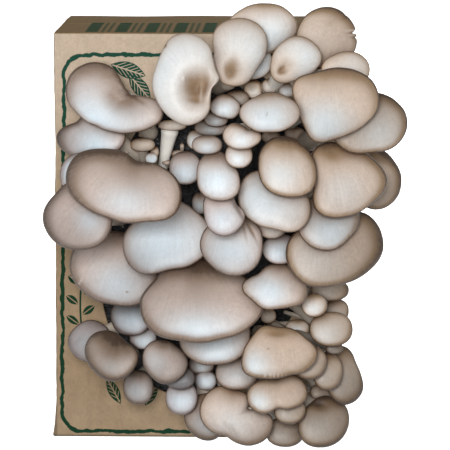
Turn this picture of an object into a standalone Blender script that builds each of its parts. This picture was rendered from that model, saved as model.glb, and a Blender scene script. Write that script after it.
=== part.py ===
"""Oyster mushroom grow kit.

A kraft carton stands upright with an oval window cut in its front. A block of growing medium in a black bag
fills the carton, and oyster mushrooms have grown out of the window: each one has its foot against the bagged
block, a stem through the window and a cap that spreads in front of the carton.

Lengths are in millimetres and are turned into metres where a mesh is made. X runs to the right along the
carton's front, Y away from it, Z up. The origin is the middle of the carton's underside.

A cap is described by what is seen of it from a sight point two metres in front of the carton: its place and
outline are measured on the plane of the carton's front, and "ahead" says how far it stands in front of that
plane, along the line of sight.
"""
import math
from collections import namedtuple

import bpy
import numpy as np
from mathutils import Vector

METRE = 0.001

# Carton
CARTON_WIDE, CARTON_DEEP, CARTON_TALL = 174.0, 127.0, 254.0
BOARD = 3.0                     # thickness of the corrugated board
CORNER = 2.5                    # rounding of the folded edges
FOOT_FLARE, FOOT_RISE = 2.5, 26.0   # the foot bulges outwards up to this height
SEAM_WIDE, SEAM_DEEP = 1.2, 1.0  # where the top flaps meet
WINDOW_AT = (8.5, 129.0)        # centre of the oval window, x and z
WINDOW_HALF = (66.0, 104.0)     # its half width and half height
WINDOW_LEAN = math.radians(12)  # it leans to the right
WINDOW_SIDES = 28

# Bagged block
BLOCK_GAP = 1.0                 # between the block and the board
BLOCK_EDGE = 9.0                # rounding of its upright edges

# Sight point of the outlines
FRONT = -CARTON_DEEP / 2
SIGHT = (83.0, FRONT - 2000.0, 431.0)

# Mushrooms
TOUCH = 0.3                     # left open between pieces that touch
CAP_GAP = 2.0                   # least distance between caps that lie on each other
EASED = math.radians(65)        # edges under this angle are shaded smooth
FLOOR_GAP = 2.0                 # least height of a cap above the floor
WINDOW_CLEAR = 1.8              # between a stem and the window's edge
MOUTH_AHEAD = 3.0               # stems run straight through the window to here
JOIN_HIGHER, JOIN_STEP = 1.5, 0.7   # where the stems of a bouquet end inside its largest one
JOIN_TURN = 0.23                # turns the faces of each stem of a bouquet out of line with the others'
FOOT_AHEAD = -(BOARD + BLOCK_GAP) + TOUCH
SIDE_TURN, SIDE_MIDDLE = 0.0039, 20.0   # caps turn outwards, by this much a millimetre from the middle
OVAL = 2.2                      # power of an oval cap's outline
ROLL_IN = 0.93                  # the rolled rim ends at this share of the reach
BULGE = 2.4                     # power of the dome's outline
FLAT_DOME, BUTTON_DOME, BUTTON = 0.31, 0.33, 13.0  # dome height over radius; more for small caps of this radius
RIM_SHARE, RIM_LEAST = 0.09, 0.6    # thickness of the rim: share of the radius, and least
STEM_SHARE, STEM_LEAST = 0.13, 2.3  # radius of the stem, likewise
STEM_LEAST_RUN = 1.5            # least length of the curved part of a stem
STEM_FLARE = 0.3                # the stem is wider under the cap, by this share
GILLS_DOWN = 0.3                # the gill side runs down the stem, by this share of the cap's radius
HOLLOW = 0.55                   # hollow of the gill side, as a share of the dome's height
CURVE_PULL = 0.4                # handles of the stem's curve, as a share of its length

Growth = namedtuple("Growth", "name centre reach grip root out tilt bowl bouquet", defaults=(0.0, ""))
Detail = namedtuple("Detail", "sides dome gills stem")

# From the rearmost cap to the foremost. centre: x and z. reach: half width and half height of an oval cap, or
# the distances from the centre to the rim at equal angles from the right side, anticlockwise. grip: where the
# stem meets the cap, from its centre. root: x and z of the stem's foot. out: least distance of the cap ahead
# of the carton. tilt: how far the cap's upper edge leans back. bowl: depth of the hollow over the stem, as a
# share of the cap's radius. bouquet: mushrooms with the same word have grown together.
GROWTHS = (
    Growth("left_wing", (-63.5, 189), (21, 19, 18, 13.5, 22, 17, 11, 16),
           grip=(16, -2), root=(-36, 177), out=8, tilt=0.45),
    Growth("left_fan", (-50.5, 211), (26.5, 8.5, 12.5, 19, 28, 30.5, 29, 22.5, 19, 19, 21.5, 32),
           grip=(7, 3), root=(-28, 192), out=10, tilt=0.35, bowl=0.3),
    Growth("left_sliver", (-68, 165.5), (15.5, 14), grip=(4, -2), root=(-48, 156), out=6, tilt=0.4),
    Growth("far_right_low", (111.5, 163), (16, 16.5, 20, 18.5, 17, 17, 18.5, 17.5),
           grip=(-8, 5), root=(66, 155), out=12, tilt=0.45),
    Growth("split_cap", (81, 252), (18.5, 17.5, 18, 18, 19, 22, 20.5, 20),
           grip=(-9, -14), root=(46, 217), out=14, tilt=0.15, bouquet="split"),
    Growth("behind_crown", (93, 232.5), (14.5, 12, 10, 11, 15.5, 14, 12, 14.5),
           grip=(-12, -4), root=(46, 217), out=12, tilt=0.2, bouquet="split"),
    Growth("bud_funnel", (36, 219), (6, 6),
           grip=(-1, 2), root=(31, 223), out=8, tilt=0.2, bowl=0.3, bouquet="top"),
    Growth("top_rim", (34, 236), (13.5, 11), grip=(0, -6), root=(31, 225), out=8, tilt=0.3, bouquet="top"),
    Growth("top_back", (43, 256.5), (20, 17.5, 15.5, 18, 23.5, 20, 16, 15),
           grip=(-4, -10), root=(31, 225), out=10, tilt=0.15, bouquet="top"),
    Growth("bud_c", (46, 220.5), (5.5, 5), grip=(-1, -1), root=(46, 217), out=6, tilt=0.2, bouquet="split"),
    Growth("bud_d", (57.5, 219), (5, 4.5),
           grip=(-2, -1), root=(46, 217), out=10, tilt=0.2, bouquet="split"),
    Growth("top_white", (62, 237.5), (16, 15, 14.5, 13.5, 15, 18.5, 13, 12.5),
           grip=(-8, -7), root=(46, 217), out=18, tilt=0.2, bowl=0.18, bouquet="split"),
    Growth("neck_brown", (26, 213.5), (7.5, 5),
           grip=(-1, 0), root=(18, 205), out=4, tilt=0.3, bouquet="necks"),
    Growth("top_oval", (28, 241.5), (16, 20, 21.5, 21, 16.5, 21.5, 20.5, 14.5),
           grip=(-7, -17), root=(14, 220), out=18, tilt=0.25, bowl=0.22),
    Growth("mid_back", (-6, 170), (10, 10.5), grip=(-1, 2), root=(-6, 175), out=8, tilt=0.4),
    Growth("mid_edge", (0, 187.5), (5, 6), grip=(0, 0), root=(4, 184), out=4, tilt=0.3, bouquet="mids"),
    Growth("neck_rim", (10, 195), (10.5, 5),
           grip=(1, 1), root=(14, 201), out=13, tilt=0.3, bouquet="necks"),
    Growth("neck_low", (13, 200.5), (7.5, 5),
           grip=(0, 1), root=(15, 202), out=6, tilt=0.3, bouquet="necks"),
    Growth("neck_white", (19, 208), (8, 7.5, 8, 7.5, 8, 7, 7, 9),
           grip=(-1, 1), root=(17, 205), out=10, tilt=0.3, bouquet="necks"),
    Growth("mid_slip", (3, 148), (5, 7), grip=(0, 0), root=(3, 146), out=4, tilt=0.3),
    Growth("stalked", (-14, 195.5), (8, 4), grip=(-1, -1), root=(-19, 172), out=14, tilt=0.2),
    Growth("big_white", (-6.5, 225), (21, 21, 28, 29, 24.5, 20, 20, 21, 24.5, 28.5, 27.5, 20),
           grip=(10, -8), root=(4, 212), out=16, tilt=0.25, bowl=0.32),
    Growth("low_left_pale", (-65.5, 60.5), (14, 14, 14, 13, 14, 13, 13, 13.5),
           grip=(7, 5), root=(-47, 71), out=7, tilt=0.45),
    Growth("low_left_back", (-35.5, 32), (9.5, 11), grip=(1, 6), root=(-31, 42), out=12, tilt=0.35),
    Growth("slot_small", (-32.5, 63), (8.5, 7),
           grip=(-1, 7), root=(-36, 76), out=8, tilt=0.4, bouquet="slots"),
    Growth("slot_white", (-40, 77), (12.5, 12.5),
           grip=(-2, 4), root=(-37, 78), out=6, tilt=0.4, bouquet="slots"),
    Growth("left_low_shell", (-51.5, 106), (28.5, 26.5, 24.5, 27, 26.5, 22.5, 22, 28),
           grip=(10, 9), root=(-38, 115), out=10, tilt=0.55, bowl=0.05),
    Growth("left_shell", (-72.5, 139.5), (21.5, 23, 23.5, 20, 22, 22, 21, 22.5),
           grip=(15, 0), root=(-46, 139), out=10, tilt=0.5),
    Growth("low_left_dark", (-52, 52.5), (16.5, 12.5, 15, 17.5, 17, 15.5, 17, 16.5),
           grip=(6, 4), root=(-40, 52), out=10, tilt=0.45),
    Growth("low_mid_b", (6.5, 37), (7, 7), grip=(0, 0), root=(4, 41), out=6, tilt=0.4, bouquet="lows"),
    Growth("low_mid_a", (4, 47), (8, 7), grip=(0, 1), root=(4, 41), out=6, tilt=0.4, bouquet="lows"),
    Growth("foot_under", (10.5, 14), (8, 10, 14, 16.5, 17.5, 17, 15.5, 11),
           grip=(-4, 9), root=(4, 41), out=24, tilt=0.4, bouquet="lows"),
    Growth("foot_blue", (-8.5, 25.5), (10, 11), grip=(0, 4), root=(-7, 34), out=6, tilt=0.35),
    Growth("foot_grey", (-9.5, 38), (9.5, 7.5), grip=(0, 5), root=(-11, 48), out=5, tilt=0.35),
    Growth("low_pair", (-19, 48.5), (14.5, 12.5, 13.5, 15, 14, 13, 14.5, 14.5),
           grip=(2, 7), root=(-17, 57), out=10, tilt=0.45),
    Growth("foot_low", (56, 4), (12, 9.5), grip=(1, 5), root=(27, 41), out=26, tilt=0.4, bouquet="foots"),
    Growth("foot_shell", (25.5, 14), (22, 9, 15, 17, 22, 23.5, 22.5, 19, 14.5, 17, 21.5, 24),
           grip=(0, 7), root=(17, 38), out=20, tilt=0.4),
    Growth("foot_back", (26, 41.5), (13.5, 11), grip=(-1, 6), root=(23, 55), out=8, tilt=0.45),
    Growth("low_white", (13.5, 61.5), (20.5, 23, 18.5, 20, 23.5, 19, 15, 17),
           grip=(-1, 5), root=(12, 69), out=12, tilt=0.5),
    Growth("foot_right", (81, 10), (15, 16.5, 16, 11.5, 17, 18, 15.5, 14.5),
           grip=(-6, 10), root=(28, 41), out=26, tilt=0.4, bowl=0.15, bouquet="foots"),
    Growth("foot_mid", (59, 18), (10, 9), grip=(0, 4), root=(27, 41), out=18, tilt=0.4, bouquet="foots"),
    Growth("low_right_dark", (51, 27.5), (19, 17.5, 10.5, 14, 19, 16.5, 8.5, 12.5),
           grip=(-4, 6), root=(37, 51), out=14, tilt=0.45),
    Growth("side_tall", (92, 40.5), (11.5, 11.5, 18.5, 18, 14, 14, 19, 16.5),
           grip=(-3, 8), root=(49, 71), out=14, tilt=0.4, bouquet="sides_low"),
    Growth("side_top", (88, 81), (7.5, 7.5),
           grip=(-2, 2), root=(58, 88), out=14, tilt=0.4, bouquet="sides"),
    Growth("side_rim", (83.5, 94), (12, 7), grip=(-5, 1), root=(59, 90), out=14, tilt=0.4, bouquet="sides"),
    Growth("side_slip", (63.5, 70), (7.5, 5.5),
           grip=(0, 1), root=(49, 71), out=10, tilt=0.4, bouquet="sides_low"),
    Growth("bud_low", (45.5, 77.5), (5, 5), grip=(0, 0), root=(44, 79), out=6, tilt=0.3),
    Growth("heart_big", (3, 85.5), (40, 33, 28, 28.5, 35, 31.5, 37.5, 35.5, 27.5, 25.5, 26.5, 33.5),
           grip=(-1, 17), root=(2, 105), out=18, tilt=0.6, bowl=0.12),
    Growth("centre_pale", (-17, 126), (28, 24.5, 24.5, 10.5, 27.5, 29, 20, 22.5),
           grip=(0, 10), root=(-18, 136), out=18, tilt=0.6, bowl=0.08),
    Growth("left_bean", (-44, 159), (35, 25.5, 17.5, 21, 26.5, 35.5, 35.5, 28, 23, 23.5, 26.5, 36),
           grip=(12, 8), root=(-29, 162), out=12, tilt=0.55, bowl=0.12),
    Growth("bud_side", (75.5, 29), (3.5, 4),
           grip=(-1, 1), root=(28, 41), out=14, tilt=0.3, bouquet="foots"),
    Growth("side_mid", (82.5, 42.5), (9.5, 12),
           grip=(-1, 4), root=(49, 71), out=16, tilt=0.4, bouquet="sides_low"),
    Growth("side_in", (71.5, 48.5), (10.5, 11),
           grip=(-1, 4), root=(49, 71), out=14, tilt=0.4, bouquet="sides_low"),
    Growth("side_bud", (86.5, 57.5), (5.5, 4),
           grip=(-1, 1), root=(49, 71), out=14, tilt=0.3, bouquet="sides_low"),
    Growth("side_high", (84.5, 69.5), (13.5, 11),
           grip=(-6, 3), root=(58, 88), out=14, tilt=0.4, bouquet="sides"),
    Growth("low_right_brown", (51.5, 54), (25, 20, 18, 17, 20, 19.5, 22, 24.5, 18.5, 16, 16, 21.5),
           grip=(-7, 11), root=(40, 67), out=16, tilt=0.5, bowl=0.08),
    Growth("side_top_in", (74, 84.5), (8, 7.5),
           grip=(-1, 1), root=(59, 89), out=14, tilt=0.4, bouquet="sides"),
    Growth("heart_side", (51.5, 96.5), (18, 9.5, 13.5, 14, 14.5, 15, 22.5, 18.5, 17, 14.5, 15.5, 19),
           grip=(-6, 7), root=(44, 101), out=12, tilt=0.55),
    Growth("under_white_low", (52.5, 120.5), (11, 10, 8, 9, 11, 11, 10.5, 11),
           grip=(0, 4), root=(51, 122), out=8, tilt=0.4),
    Growth("right_brown", (86.5, 121), (30, 29, 20, 22, 30, 30.5, 24.5, 25),
           grip=(-12, 8), root=(64, 124), out=16, tilt=0.5),
    Growth("right_pale", (83.5, 136.5), (18, 20.5, 19.5, 19.5, 20.5, 19.5, 17.5, 15.5),
           grip=(-5, 14), root=(62, 142), out=18, tilt=0.5),
    Growth("right_mid", (94.5, 162.5), (24, 20.5, 22.5, 28.5, 21, 27, 22.5, 20.5),
           grip=(-14, 15), root=(64, 170), out=18, tilt=0.5, bowl=0.12),
    Growth("under_white", (47, 133), (10, 9.5, 9.5, 12.5, 9.5, 7.5, 7, 8),
           grip=(-1, 5), root=(45, 140), out=8, tilt=0.4),
    Growth("centre_folded", (24, 121), (18, 20, 20, 20.5, 21, 18.5, 18.5, 18.5),
           grip=(0, 7), root=(24, 125), out=14, tilt=0.55),
    Growth("centre_white", (49.5, 148.5), (22, 16, 19, 24.5, 22.5, 18, 16.5, 23),
           grip=(-11, 12), root=(38, 159), out=14, tilt=0.5),
    Growth("right_oval", (57, 171), (18, 16.5, 19, 20, 18, 19, 19, 21),
           grip=(-1, 12), root=(49, 180), out=18, tilt=0.5),
    Growth("far_right", (109, 199), (22, 19.5, 19, 23.5, 27.5, 19.5, 19, 21),
           grip=(-14, 0), root=(64, 185), out=16, tilt=0.4),
    Growth("crown_right", (86, 209), (27, 28, 25.5, 23.5, 24, 29, 24, 23, 25.5, 21, 20, 22.5),
           grip=(-17, 0), root=(57, 199), out=22, tilt=0.45),
    Growth("mid_fold", (18.5, 141), (12.5, 10, 16.5, 16.5, 13, 13.5, 13.5, 12.5),
           grip=(-2, 4), root=(17, 145), out=10, tilt=0.4, bowl=0.1),
    Growth("mid_round", (14, 165), (13.5, 12, 16, 15, 13, 14.5, 15.5, 16.5),
           grip=(-2, 3), root=(12, 166), out=10, tilt=0.4),
    Growth("mid_small", (27, 178), (8.5, 8), grip=(3, 1), root=(31, 179), out=6, tilt=0.3),
    Growth("mid_brown", (29, 190), (12, 6, 7, 10.5, 12, 10, 8.5, 9.5),
           grip=(1, 4), root=(30, 193), out=14, tilt=0.4),
    Growth("crown_small", (46, 205), (19, 14, 12.5, 13, 18.5, 15.5, 12.5, 15),
           grip=(-3, 2), root=(39, 206), out=22, tilt=0.4, bowl=0.05),
    Growth("mid_top", (7.5, 184.5), (9.5, 6), grip=(-1, 2), root=(6, 184), out=8, tilt=0.3, bouquet="mids"),
)

LARGE, MEDIUM = 20.0, 9.5       # mean radius from which a cap has more faces
DETAILS = (
    Detail(12, (0.5, 0.85, 1.0), (0.5,), (0.2, 1.0)),
    Detail(8, (0.62, 1.0), (0.45,), (0.3, 1.0)),
    Detail(7, (0.68, 1.0), (), (0.35, 1.0)),
)


# ---- shape of a mushroom ----

def reach_at(growth, angle):
    """Distance from a cap's centre to its rim in the given directions."""
    if len(growth.reach) == 2:
        wide, tall = growth.reach
        return (np.abs(np.cos(angle) / wide) ** OVAL + np.abs(np.sin(angle) / tall) ** OVAL) ** (-1 / OVAL)
    rays = np.array(growth.reach)
    turn = np.asarray(angle) / math.tau % 1.0 * len(rays)
    step = np.floor(turn).astype(int)
    part = turn - step
    before, near, far, after = (rays[(step + k) % len(rays)] for k in (-1, 0, 1, 2))
    bend = 2 * before - 5 * near + 4 * far - after + part * (3 * (near - far) + after - before)
    return near + 0.5 * part * (far - before + part * bend)


def circle(sides):
    return np.arange(sides) * math.tau / sides


def cap_radius(growth):
    return float(np.sqrt(np.mean(reach_at(growth, circle(48)) ** 2)))


def dome_height(radius):
    """Large caps are flat shells, small ones are round buttons."""
    return radius * (FLAT_DOME + BUTTON_DOME * math.exp(-(radius / BUTTON) ** 2))


def rim_thickness(radius):
    return RIM_SHARE * radius + RIM_LEAST


def stem_radius(radius):
    return STEM_SHARE * radius + STEM_LEAST


def surfaces(growth, across, up):
    """Heights of a cap's upper side and gill side over its rim's centre, at offsets from that centre."""
    radius = cap_radius(growth)
    share = np.hypot(across, up) / reach_at(growth, np.arctan2(up, across))
    inside = np.clip(share, 0, 1)
    turn = -SIDE_TURN * (growth.centre[0] - SIDE_MIDDLE)
    plane = turn * across - growth.tilt * up
    away = (across - growth.grip[0]) ** 2 + (up - growth.grip[1]) ** 2
    bowl = growth.bowl * radius * np.exp(-away / (radius / 2) ** 2) * (1 - inside ** 2)
    height = dome_height(radius)
    top = plane + height * (1 - inside ** BULGE) ** 0.6 - bowl
    hollow = HOLLOW * height * (1 - (inside / ROLL_IN) ** 2)
    return top, plane - rim_thickness(radius) + hollow - bowl


def place_in_bouquet(growth):
    """0 for a mushroom with a foot of its own, which is the largest of a bouquet, and so on down in size."""
    others = [other for other in GROWTHS if growth.bouquet and other.bouquet == growth.bouquet]
    return sorted(others, key=cap_radius, reverse=True).index(growth) if others else 0


def foot_place(growth):
    """Where the stem meets the block, moved in from the window's edge if the stem would touch it."""
    keep = stem_radius(cap_radius(growth)) + WINDOW_CLEAR
    across, up = np.array(growth.root) - WINDOW_AT
    cos, sin = math.cos(WINDOW_LEAN), math.sin(WINDOW_LEAN)
    wide, tall = (across * cos - up * sin), (across * sin + up * cos)
    over = max(1.0, math.hypot(wide / (WINDOW_HALF[0] - keep), tall / (WINDOW_HALF[1] - keep)))
    wide, tall = wide / over, tall / over
    return WINDOW_AT[0] + wide * cos + tall * sin, WINDOW_AT[1] - wide * sin + tall * cos


def stem_path(growth, ahead):
    """The four points of the stem's curve down to the window, as x, z and distance ahead."""
    grip = np.array(growth.grip)
    start_height = float(surfaces(growth, *grip)[1]) - GILLS_DOWN * cap_radius(growth) + ahead
    place = place_in_bouquet(growth)
    mouth = MOUTH_AHEAD + (JOIN_HIGHER if place else 0) - JOIN_STEP * place
    start = Vector((*(np.array(growth.centre) + grip), max(start_height, mouth + STEM_LEAST_RUN)))
    end = Vector((*foot_place(growth), mouth))
    pull = Vector((0, 0, CURVE_PULL * (start.z - end.z)))
    return start, start - pull, end + pull, end


def curve_point(path, t):
    a, b, c, d = path
    point = a * (1 - t) ** 3 + b * (3 * t * (1 - t) ** 2) + c * (3 * t * t * (1 - t)) + d * t ** 3
    way = (b - a) * (1 - t) ** 2 + (c - b) * (2 * t * (1 - t)) + (d - c) * t * t
    return point, way.normalized()


def rings_of(growth, ahead, detail):
    """Rings of points from the top of the cap over its rim and down the stem: x, z and distance ahead."""
    angle = circle(detail.sides) + JOIN_TURN * place_in_bouquet(growth)
    reach = reach_at(growth, angle)
    rim = np.stack([np.cos(angle), np.sin(angle)], axis=1) * reach[:, None]
    centre, grip = np.array(growth.centre), np.array(growth.grip)
    radius = cap_radius(growth)
    rings = []

    def add(flat, height):
        rings.append(np.column_stack([flat + centre, height + ahead]))

    for share in detail.dome:
        add(rim * share, surfaces(growth, *(rim * share).T)[0])
    edge = rim * ROLL_IN
    add(edge, surfaces(growth, *edge.T)[1])
    for share in detail.gills:
        flat = grip + (edge - grip) * share
        add(flat, surfaces(growth, *flat.T)[1] - GILLS_DOWN * radius * (1 - share) ** 2)
    path = stem_path(growth, ahead)
    for t in detail.stem:
        point, way = curve_point(path, t)
        turn = Vector((0, 0, -1)).rotation_difference(way)
        thick = stem_radius(radius) * (1 + STEM_FLARE * (1 - t) ** 3)
        rings.append(np.array([point + turn @ Vector((math.cos(a), math.sin(a), 0)) * thick for a in angle]))
    if not place_in_bouquet(growth):
        rings.append(rings[-1] + (0, 0, FOOT_AHEAD - MOUTH_AHEAD))
    return rings


def placed(points):
    """Points given as x, z on the front plane and distance ahead, brought to their place in space."""
    x, z, ahead = np.asarray(points).T
    share = ahead / (FRONT - SIGHT[1])
    return np.column_stack([x + (SIGHT[0] - x) * share, FRONT - ahead, z + (SIGHT[2] - z) * share])


# ---- how far ahead each cap lies ----

def samples(growth, rays=24, steps=7):
    """Offsets from a cap's centre that cover it out to the rim."""
    angle = circle(rays)
    share = np.linspace(1 / steps, 1, steps)[:, None]
    reach = reach_at(growth, angle)
    flat = np.stack([np.cos(angle) * reach * share, np.sin(angle) * reach * share], axis=-1).reshape(-1, 2)
    return np.vstack([[0.0, 0.0], flat])


def clearance_needed(front, rear, rear_ahead):
    """How far ahead the front cap has to be to lie clear of the rear one."""
    needed = -math.inf
    for base, spots in ((front, samples(front)), (rear, samples(rear))):
        seen = spots + base.centre
        on_front, on_rear = (seen - np.array(cap.centre) for cap in (front, rear))
        both = np.ones(len(seen), bool)
        for cap, spot in ((front, on_front), (rear, on_rear)):
            both &= np.hypot(*spot.T) <= reach_at(cap, np.arctan2(spot[:, 1], spot[:, 0])) * 1.001
        if both.any():
            top = surfaces(rear, *on_rear[both].T)[0] + rear_ahead
            under = surfaces(front, *on_front[both].T)[1]
            needed = max(needed, float((top - under).max()) + CAP_GAP)
    return needed


def settled():
    """Lays each cap on those behind it, from the rearmost to the foremost."""
    ahead = {}
    for index, growth in enumerate(GROWTHS):
        spots = samples(growth)
        under = surfaces(growth, *spots.T)[1]
        level = growth.out - under.min()
        low = spots[:, 1] + growth.centre[1]
        lifted = (FLOOR_GAP - low) * (FRONT - SIGHT[1]) / (SIGHT[2] - low)
        level = max(level, float((lifted - under).max()))
        for rear in GROWTHS[:index]:
            level = max(level, clearance_needed(growth, rear, ahead[rear.name]))
        ahead[growth.name] = level
    return ahead


# ---- Blender objects ----

def material(name, colour, roughness, metallic=0.0):
    made = bpy.data.materials.new(name)
    made.use_nodes = True
    shader = made.node_tree.nodes["Principled BSDF"]
    shader.inputs["Base Color"].default_value = (*colour, 1)
    shader.inputs["Roughness"].default_value = roughness
    shader.inputs["Metallic"].default_value = metallic
    made.diffuse_color = (*colour, 1)
    return made


def add_object(name, points, faces, finish=None, rounded=False):
    """A mesh object from points in millimetres."""
    mesh = bpy.data.meshes.new(name)
    mesh.from_pydata([tuple(float(value) * METRE for value in point) for point in points], [], faces)
    if rounded:
        mesh.shade_smooth()
        mesh.set_sharp_from_angle(angle=EASED)
    made = bpy.data.objects.new(name, mesh)
    bpy.context.scene.collection.objects.link(made)
    if finish:
        mesh.materials.append(finish)
    return made


def loft(rings):
    """Faces that close a stack of rings, whose first and last point are poles."""
    sides = len(rings[0])
    points = np.vstack([rings[0].mean(axis=0, keepdims=True), *rings, rings[-1].mean(axis=0, keepdims=True)])
    last = len(points) - 1
    faces = []
    for i in range(sides):
        j = (i + 1) % sides
        faces.append((0, 1 + i, 1 + j))
        for k in range(len(rings) - 1):
            a, b = 1 + k * sides, 1 + (k + 1) * sides
            faces.append((a + i, b + i, b + j, a + j))
        faces.append((last, last - sides + j, last - sides + i))
    return points, faces


def cutter(made):
    made.hide_render = True
    made.display_type = "WIRE"
    return made


def combine(target, other, operation, solver="EXACT"):
    change = target.modifiers.new(other.name, "BOOLEAN")
    change.operation = operation
    change.solver = solver
    change.object = cutter(other)


def box(name, low, high):
    """An upright box between two corners."""
    x, y, z = zip(low, high)
    points = [(x[i], y[j], z[k]) for k in (0, 1) for i, j in ((0, 0), (1, 0), (1, 1), (0, 1))]
    faces = [(3, 2, 1, 0), (4, 5, 6, 7)] + [(i, (i + 1) % 4, (i + 1) % 4 + 4, i + 4) for i in range(4)]
    return add_object(name, points, faces)


def rounded_rectangle(wide, deep, corner, steps=2):
    points = []
    for quarter, (sx, sy) in enumerate(((1, 1), (-1, 1), (-1, -1), (1, -1))):
        for step in range(steps + 1):
            angle = (quarter + step / steps) * math.pi / 2
            points.append((sx * (wide / 2 - corner) + corner * math.cos(angle),
                           sy * (deep / 2 - corner) + corner * math.sin(angle)))
    return points


def add_carton():
    """The folded carton: a flared foot, a hollow for the block, the window and the seam of the flaps."""
    levels = ((0.0, FOOT_FLARE), (FOOT_RISE / 2, FOOT_FLARE * 0.35), (FOOT_RISE, 0.0),
              (CARTON_TALL - CORNER, 0.0), (CARTON_TALL, -CORNER * 0.6))
    rings = []
    for height, more in levels:
        outline = rounded_rectangle(CARTON_WIDE + 2 * more, CARTON_DEEP + min(2 * more, 0), CORNER)
        rings.append(np.array([(x, y, height) for x, y in reversed(outline)]))
    points = np.vstack(rings)
    sides = len(rings[0])
    faces = [tuple(range(sides)), tuple(reversed(range(len(points) - sides, len(points))))]
    for k in range(len(rings) - 1):
        a, b = k * sides, (k + 1) * sides
        faces += [(a + i, b + i, b + (i + 1) % sides, a + (i + 1) % sides) for i in range(sides)]
    carton = add_object("carton", points, faces, material("kraft_board", (0.50, 0.38, 0.26), 0.85))
    inner = [CARTON_WIDE / 2 - BOARD, CARTON_DEEP / 2 - BOARD]
    combine(carton, box("hollow", (-inner[0], -inner[1], BOARD), (*inner, CARTON_TALL - BOARD)), "DIFFERENCE")
    combine(carton, add_window(), "DIFFERENCE")
    seam = box("seam", (-CARTON_WIDE, -SEAM_WIDE / 2, CARTON_TALL - SEAM_DEEP),
               (CARTON_WIDE, SEAM_WIDE / 2, CARTON_TALL + SEAM_DEEP))
    combine(carton, seam, "DIFFERENCE")
    return carton


def window_outline(sides):
    angle = circle(sides)
    along, up = WINDOW_HALF[0] * np.cos(angle), WINDOW_HALF[1] * np.sin(angle)
    return np.column_stack([WINDOW_AT[0] + along * math.cos(WINDOW_LEAN) + up * math.sin(WINDOW_LEAN),
                            WINDOW_AT[1] - along * math.sin(WINDOW_LEAN) + up * math.cos(WINDOW_LEAN)])


def add_window():
    """A prism of the window's outline that passes through the front board."""
    outline = window_outline(WINDOW_SIDES)
    rings = [np.array([(x, y, z) for x, z in outline]) for y in (FRONT - BOARD, FRONT + 2 * BOARD)]
    points, faces = loft(rings)
    return add_object("window", points, faces)


def add_block():
    """The bagged block, with a flat face behind the window."""
    wide = CARTON_WIDE - 2 * (BOARD + BLOCK_GAP)
    deep = CARTON_DEEP - 2 * (BOARD + BLOCK_GAP)
    top = CARTON_TALL - BOARD - BLOCK_GAP
    levels = ((BOARD + TOUCH, -BLOCK_EDGE * 0.5), (BOARD + BLOCK_EDGE, 0.0), (top - BLOCK_EDGE, 0.0),
              (top, -BLOCK_EDGE * 0.5))
    rings = []
    for height, more in levels:
        outline = rounded_rectangle(wide + 2 * more, deep + 2 * more, BLOCK_EDGE)
        rings.append(np.array([(x, y, height) for x, y in reversed(outline)]))
    points, faces = loft(rings)
    bag = material("black_bag", (0.012, 0.013, 0.016), 0.3)
    return add_object("growing_block", points, faces, bag, rounded=True)


def detail_for(growth):
    radius = cap_radius(growth)
    return DETAILS[0 if radius > LARGE else 1 if radius > MEDIUM else 2]


def add_mushrooms():
    """One object for each mushroom, and one for each bouquet of mushrooms with a common foot."""
    flesh = material("mushroom_flesh", (0.62, 0.55, 0.49), 0.55)
    ahead = settled()
    bouquets = {}
    for growth in sorted(GROWTHS, key=place_in_bouquet):
        points, faces = loft(rings_of(growth, ahead[growth.name], detail_for(growth)))
        first = not place_in_bouquet(growth)
        name = "bouquet_" + growth.bouquet if growth.bouquet and first else "mushroom_" + growth.name
        made = add_object(name, placed(points), faces, flesh, rounded=True)
        if not first:
            combine(bouquets[growth.bouquet], made, "UNION", "MANIFOLD")
        elif growth.bouquet:
            bouquets[growth.bouquet] = made


def clear_scene():
    for made in list(bpy.data.objects):
        bpy.data.objects.remove(made)


clear_scene()
add_carton()
add_block()
add_mushrooms()
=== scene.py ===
"""The looks of an oyster mushroom grow kit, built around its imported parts.

A kraft carton with an oval window, the black bag behind it, and the mushrooms that have grown out of it, each
with its cap, gills and stem. Lengths are in millimetres and are turned into metres where a mesh is made. X
runs to the right along the carton's front, Y away from it, Z up; the origin is the middle of the underside.

A cap is described by what is seen of it from a sight point two metres in front of the carton: its place and
outline lie on the plane of the carton's front, and "ahead" says how far it stands in front of that plane,
along the line of sight.
"""

import logging
import math
from collections.abc import Iterable, Sequence
from dataclasses import dataclass, field
from enum import Enum
from functools import cached_property

import bpy
import numpy as np
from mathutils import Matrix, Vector
from mathutils.bvhtree import BVHTree


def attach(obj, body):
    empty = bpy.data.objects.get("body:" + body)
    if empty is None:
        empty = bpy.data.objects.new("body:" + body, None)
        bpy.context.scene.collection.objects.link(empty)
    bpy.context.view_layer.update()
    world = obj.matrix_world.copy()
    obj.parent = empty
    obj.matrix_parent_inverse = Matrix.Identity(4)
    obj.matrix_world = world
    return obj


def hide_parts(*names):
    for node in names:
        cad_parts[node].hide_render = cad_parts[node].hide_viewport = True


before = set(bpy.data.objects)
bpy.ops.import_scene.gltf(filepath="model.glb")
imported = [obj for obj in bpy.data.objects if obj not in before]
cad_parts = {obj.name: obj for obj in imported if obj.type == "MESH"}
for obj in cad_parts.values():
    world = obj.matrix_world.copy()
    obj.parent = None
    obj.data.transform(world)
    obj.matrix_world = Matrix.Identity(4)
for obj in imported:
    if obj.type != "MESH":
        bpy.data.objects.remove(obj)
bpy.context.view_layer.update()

METRE = 0.001
BODY = "root"
SEED = 7

Colour = tuple[float, float, float]
Place = tuple[float, float, float]
Pair = tuple[float, float]
Array = np.ndarray

log = logging.getLogger("grow kit")


# ---- node trees ----

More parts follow.
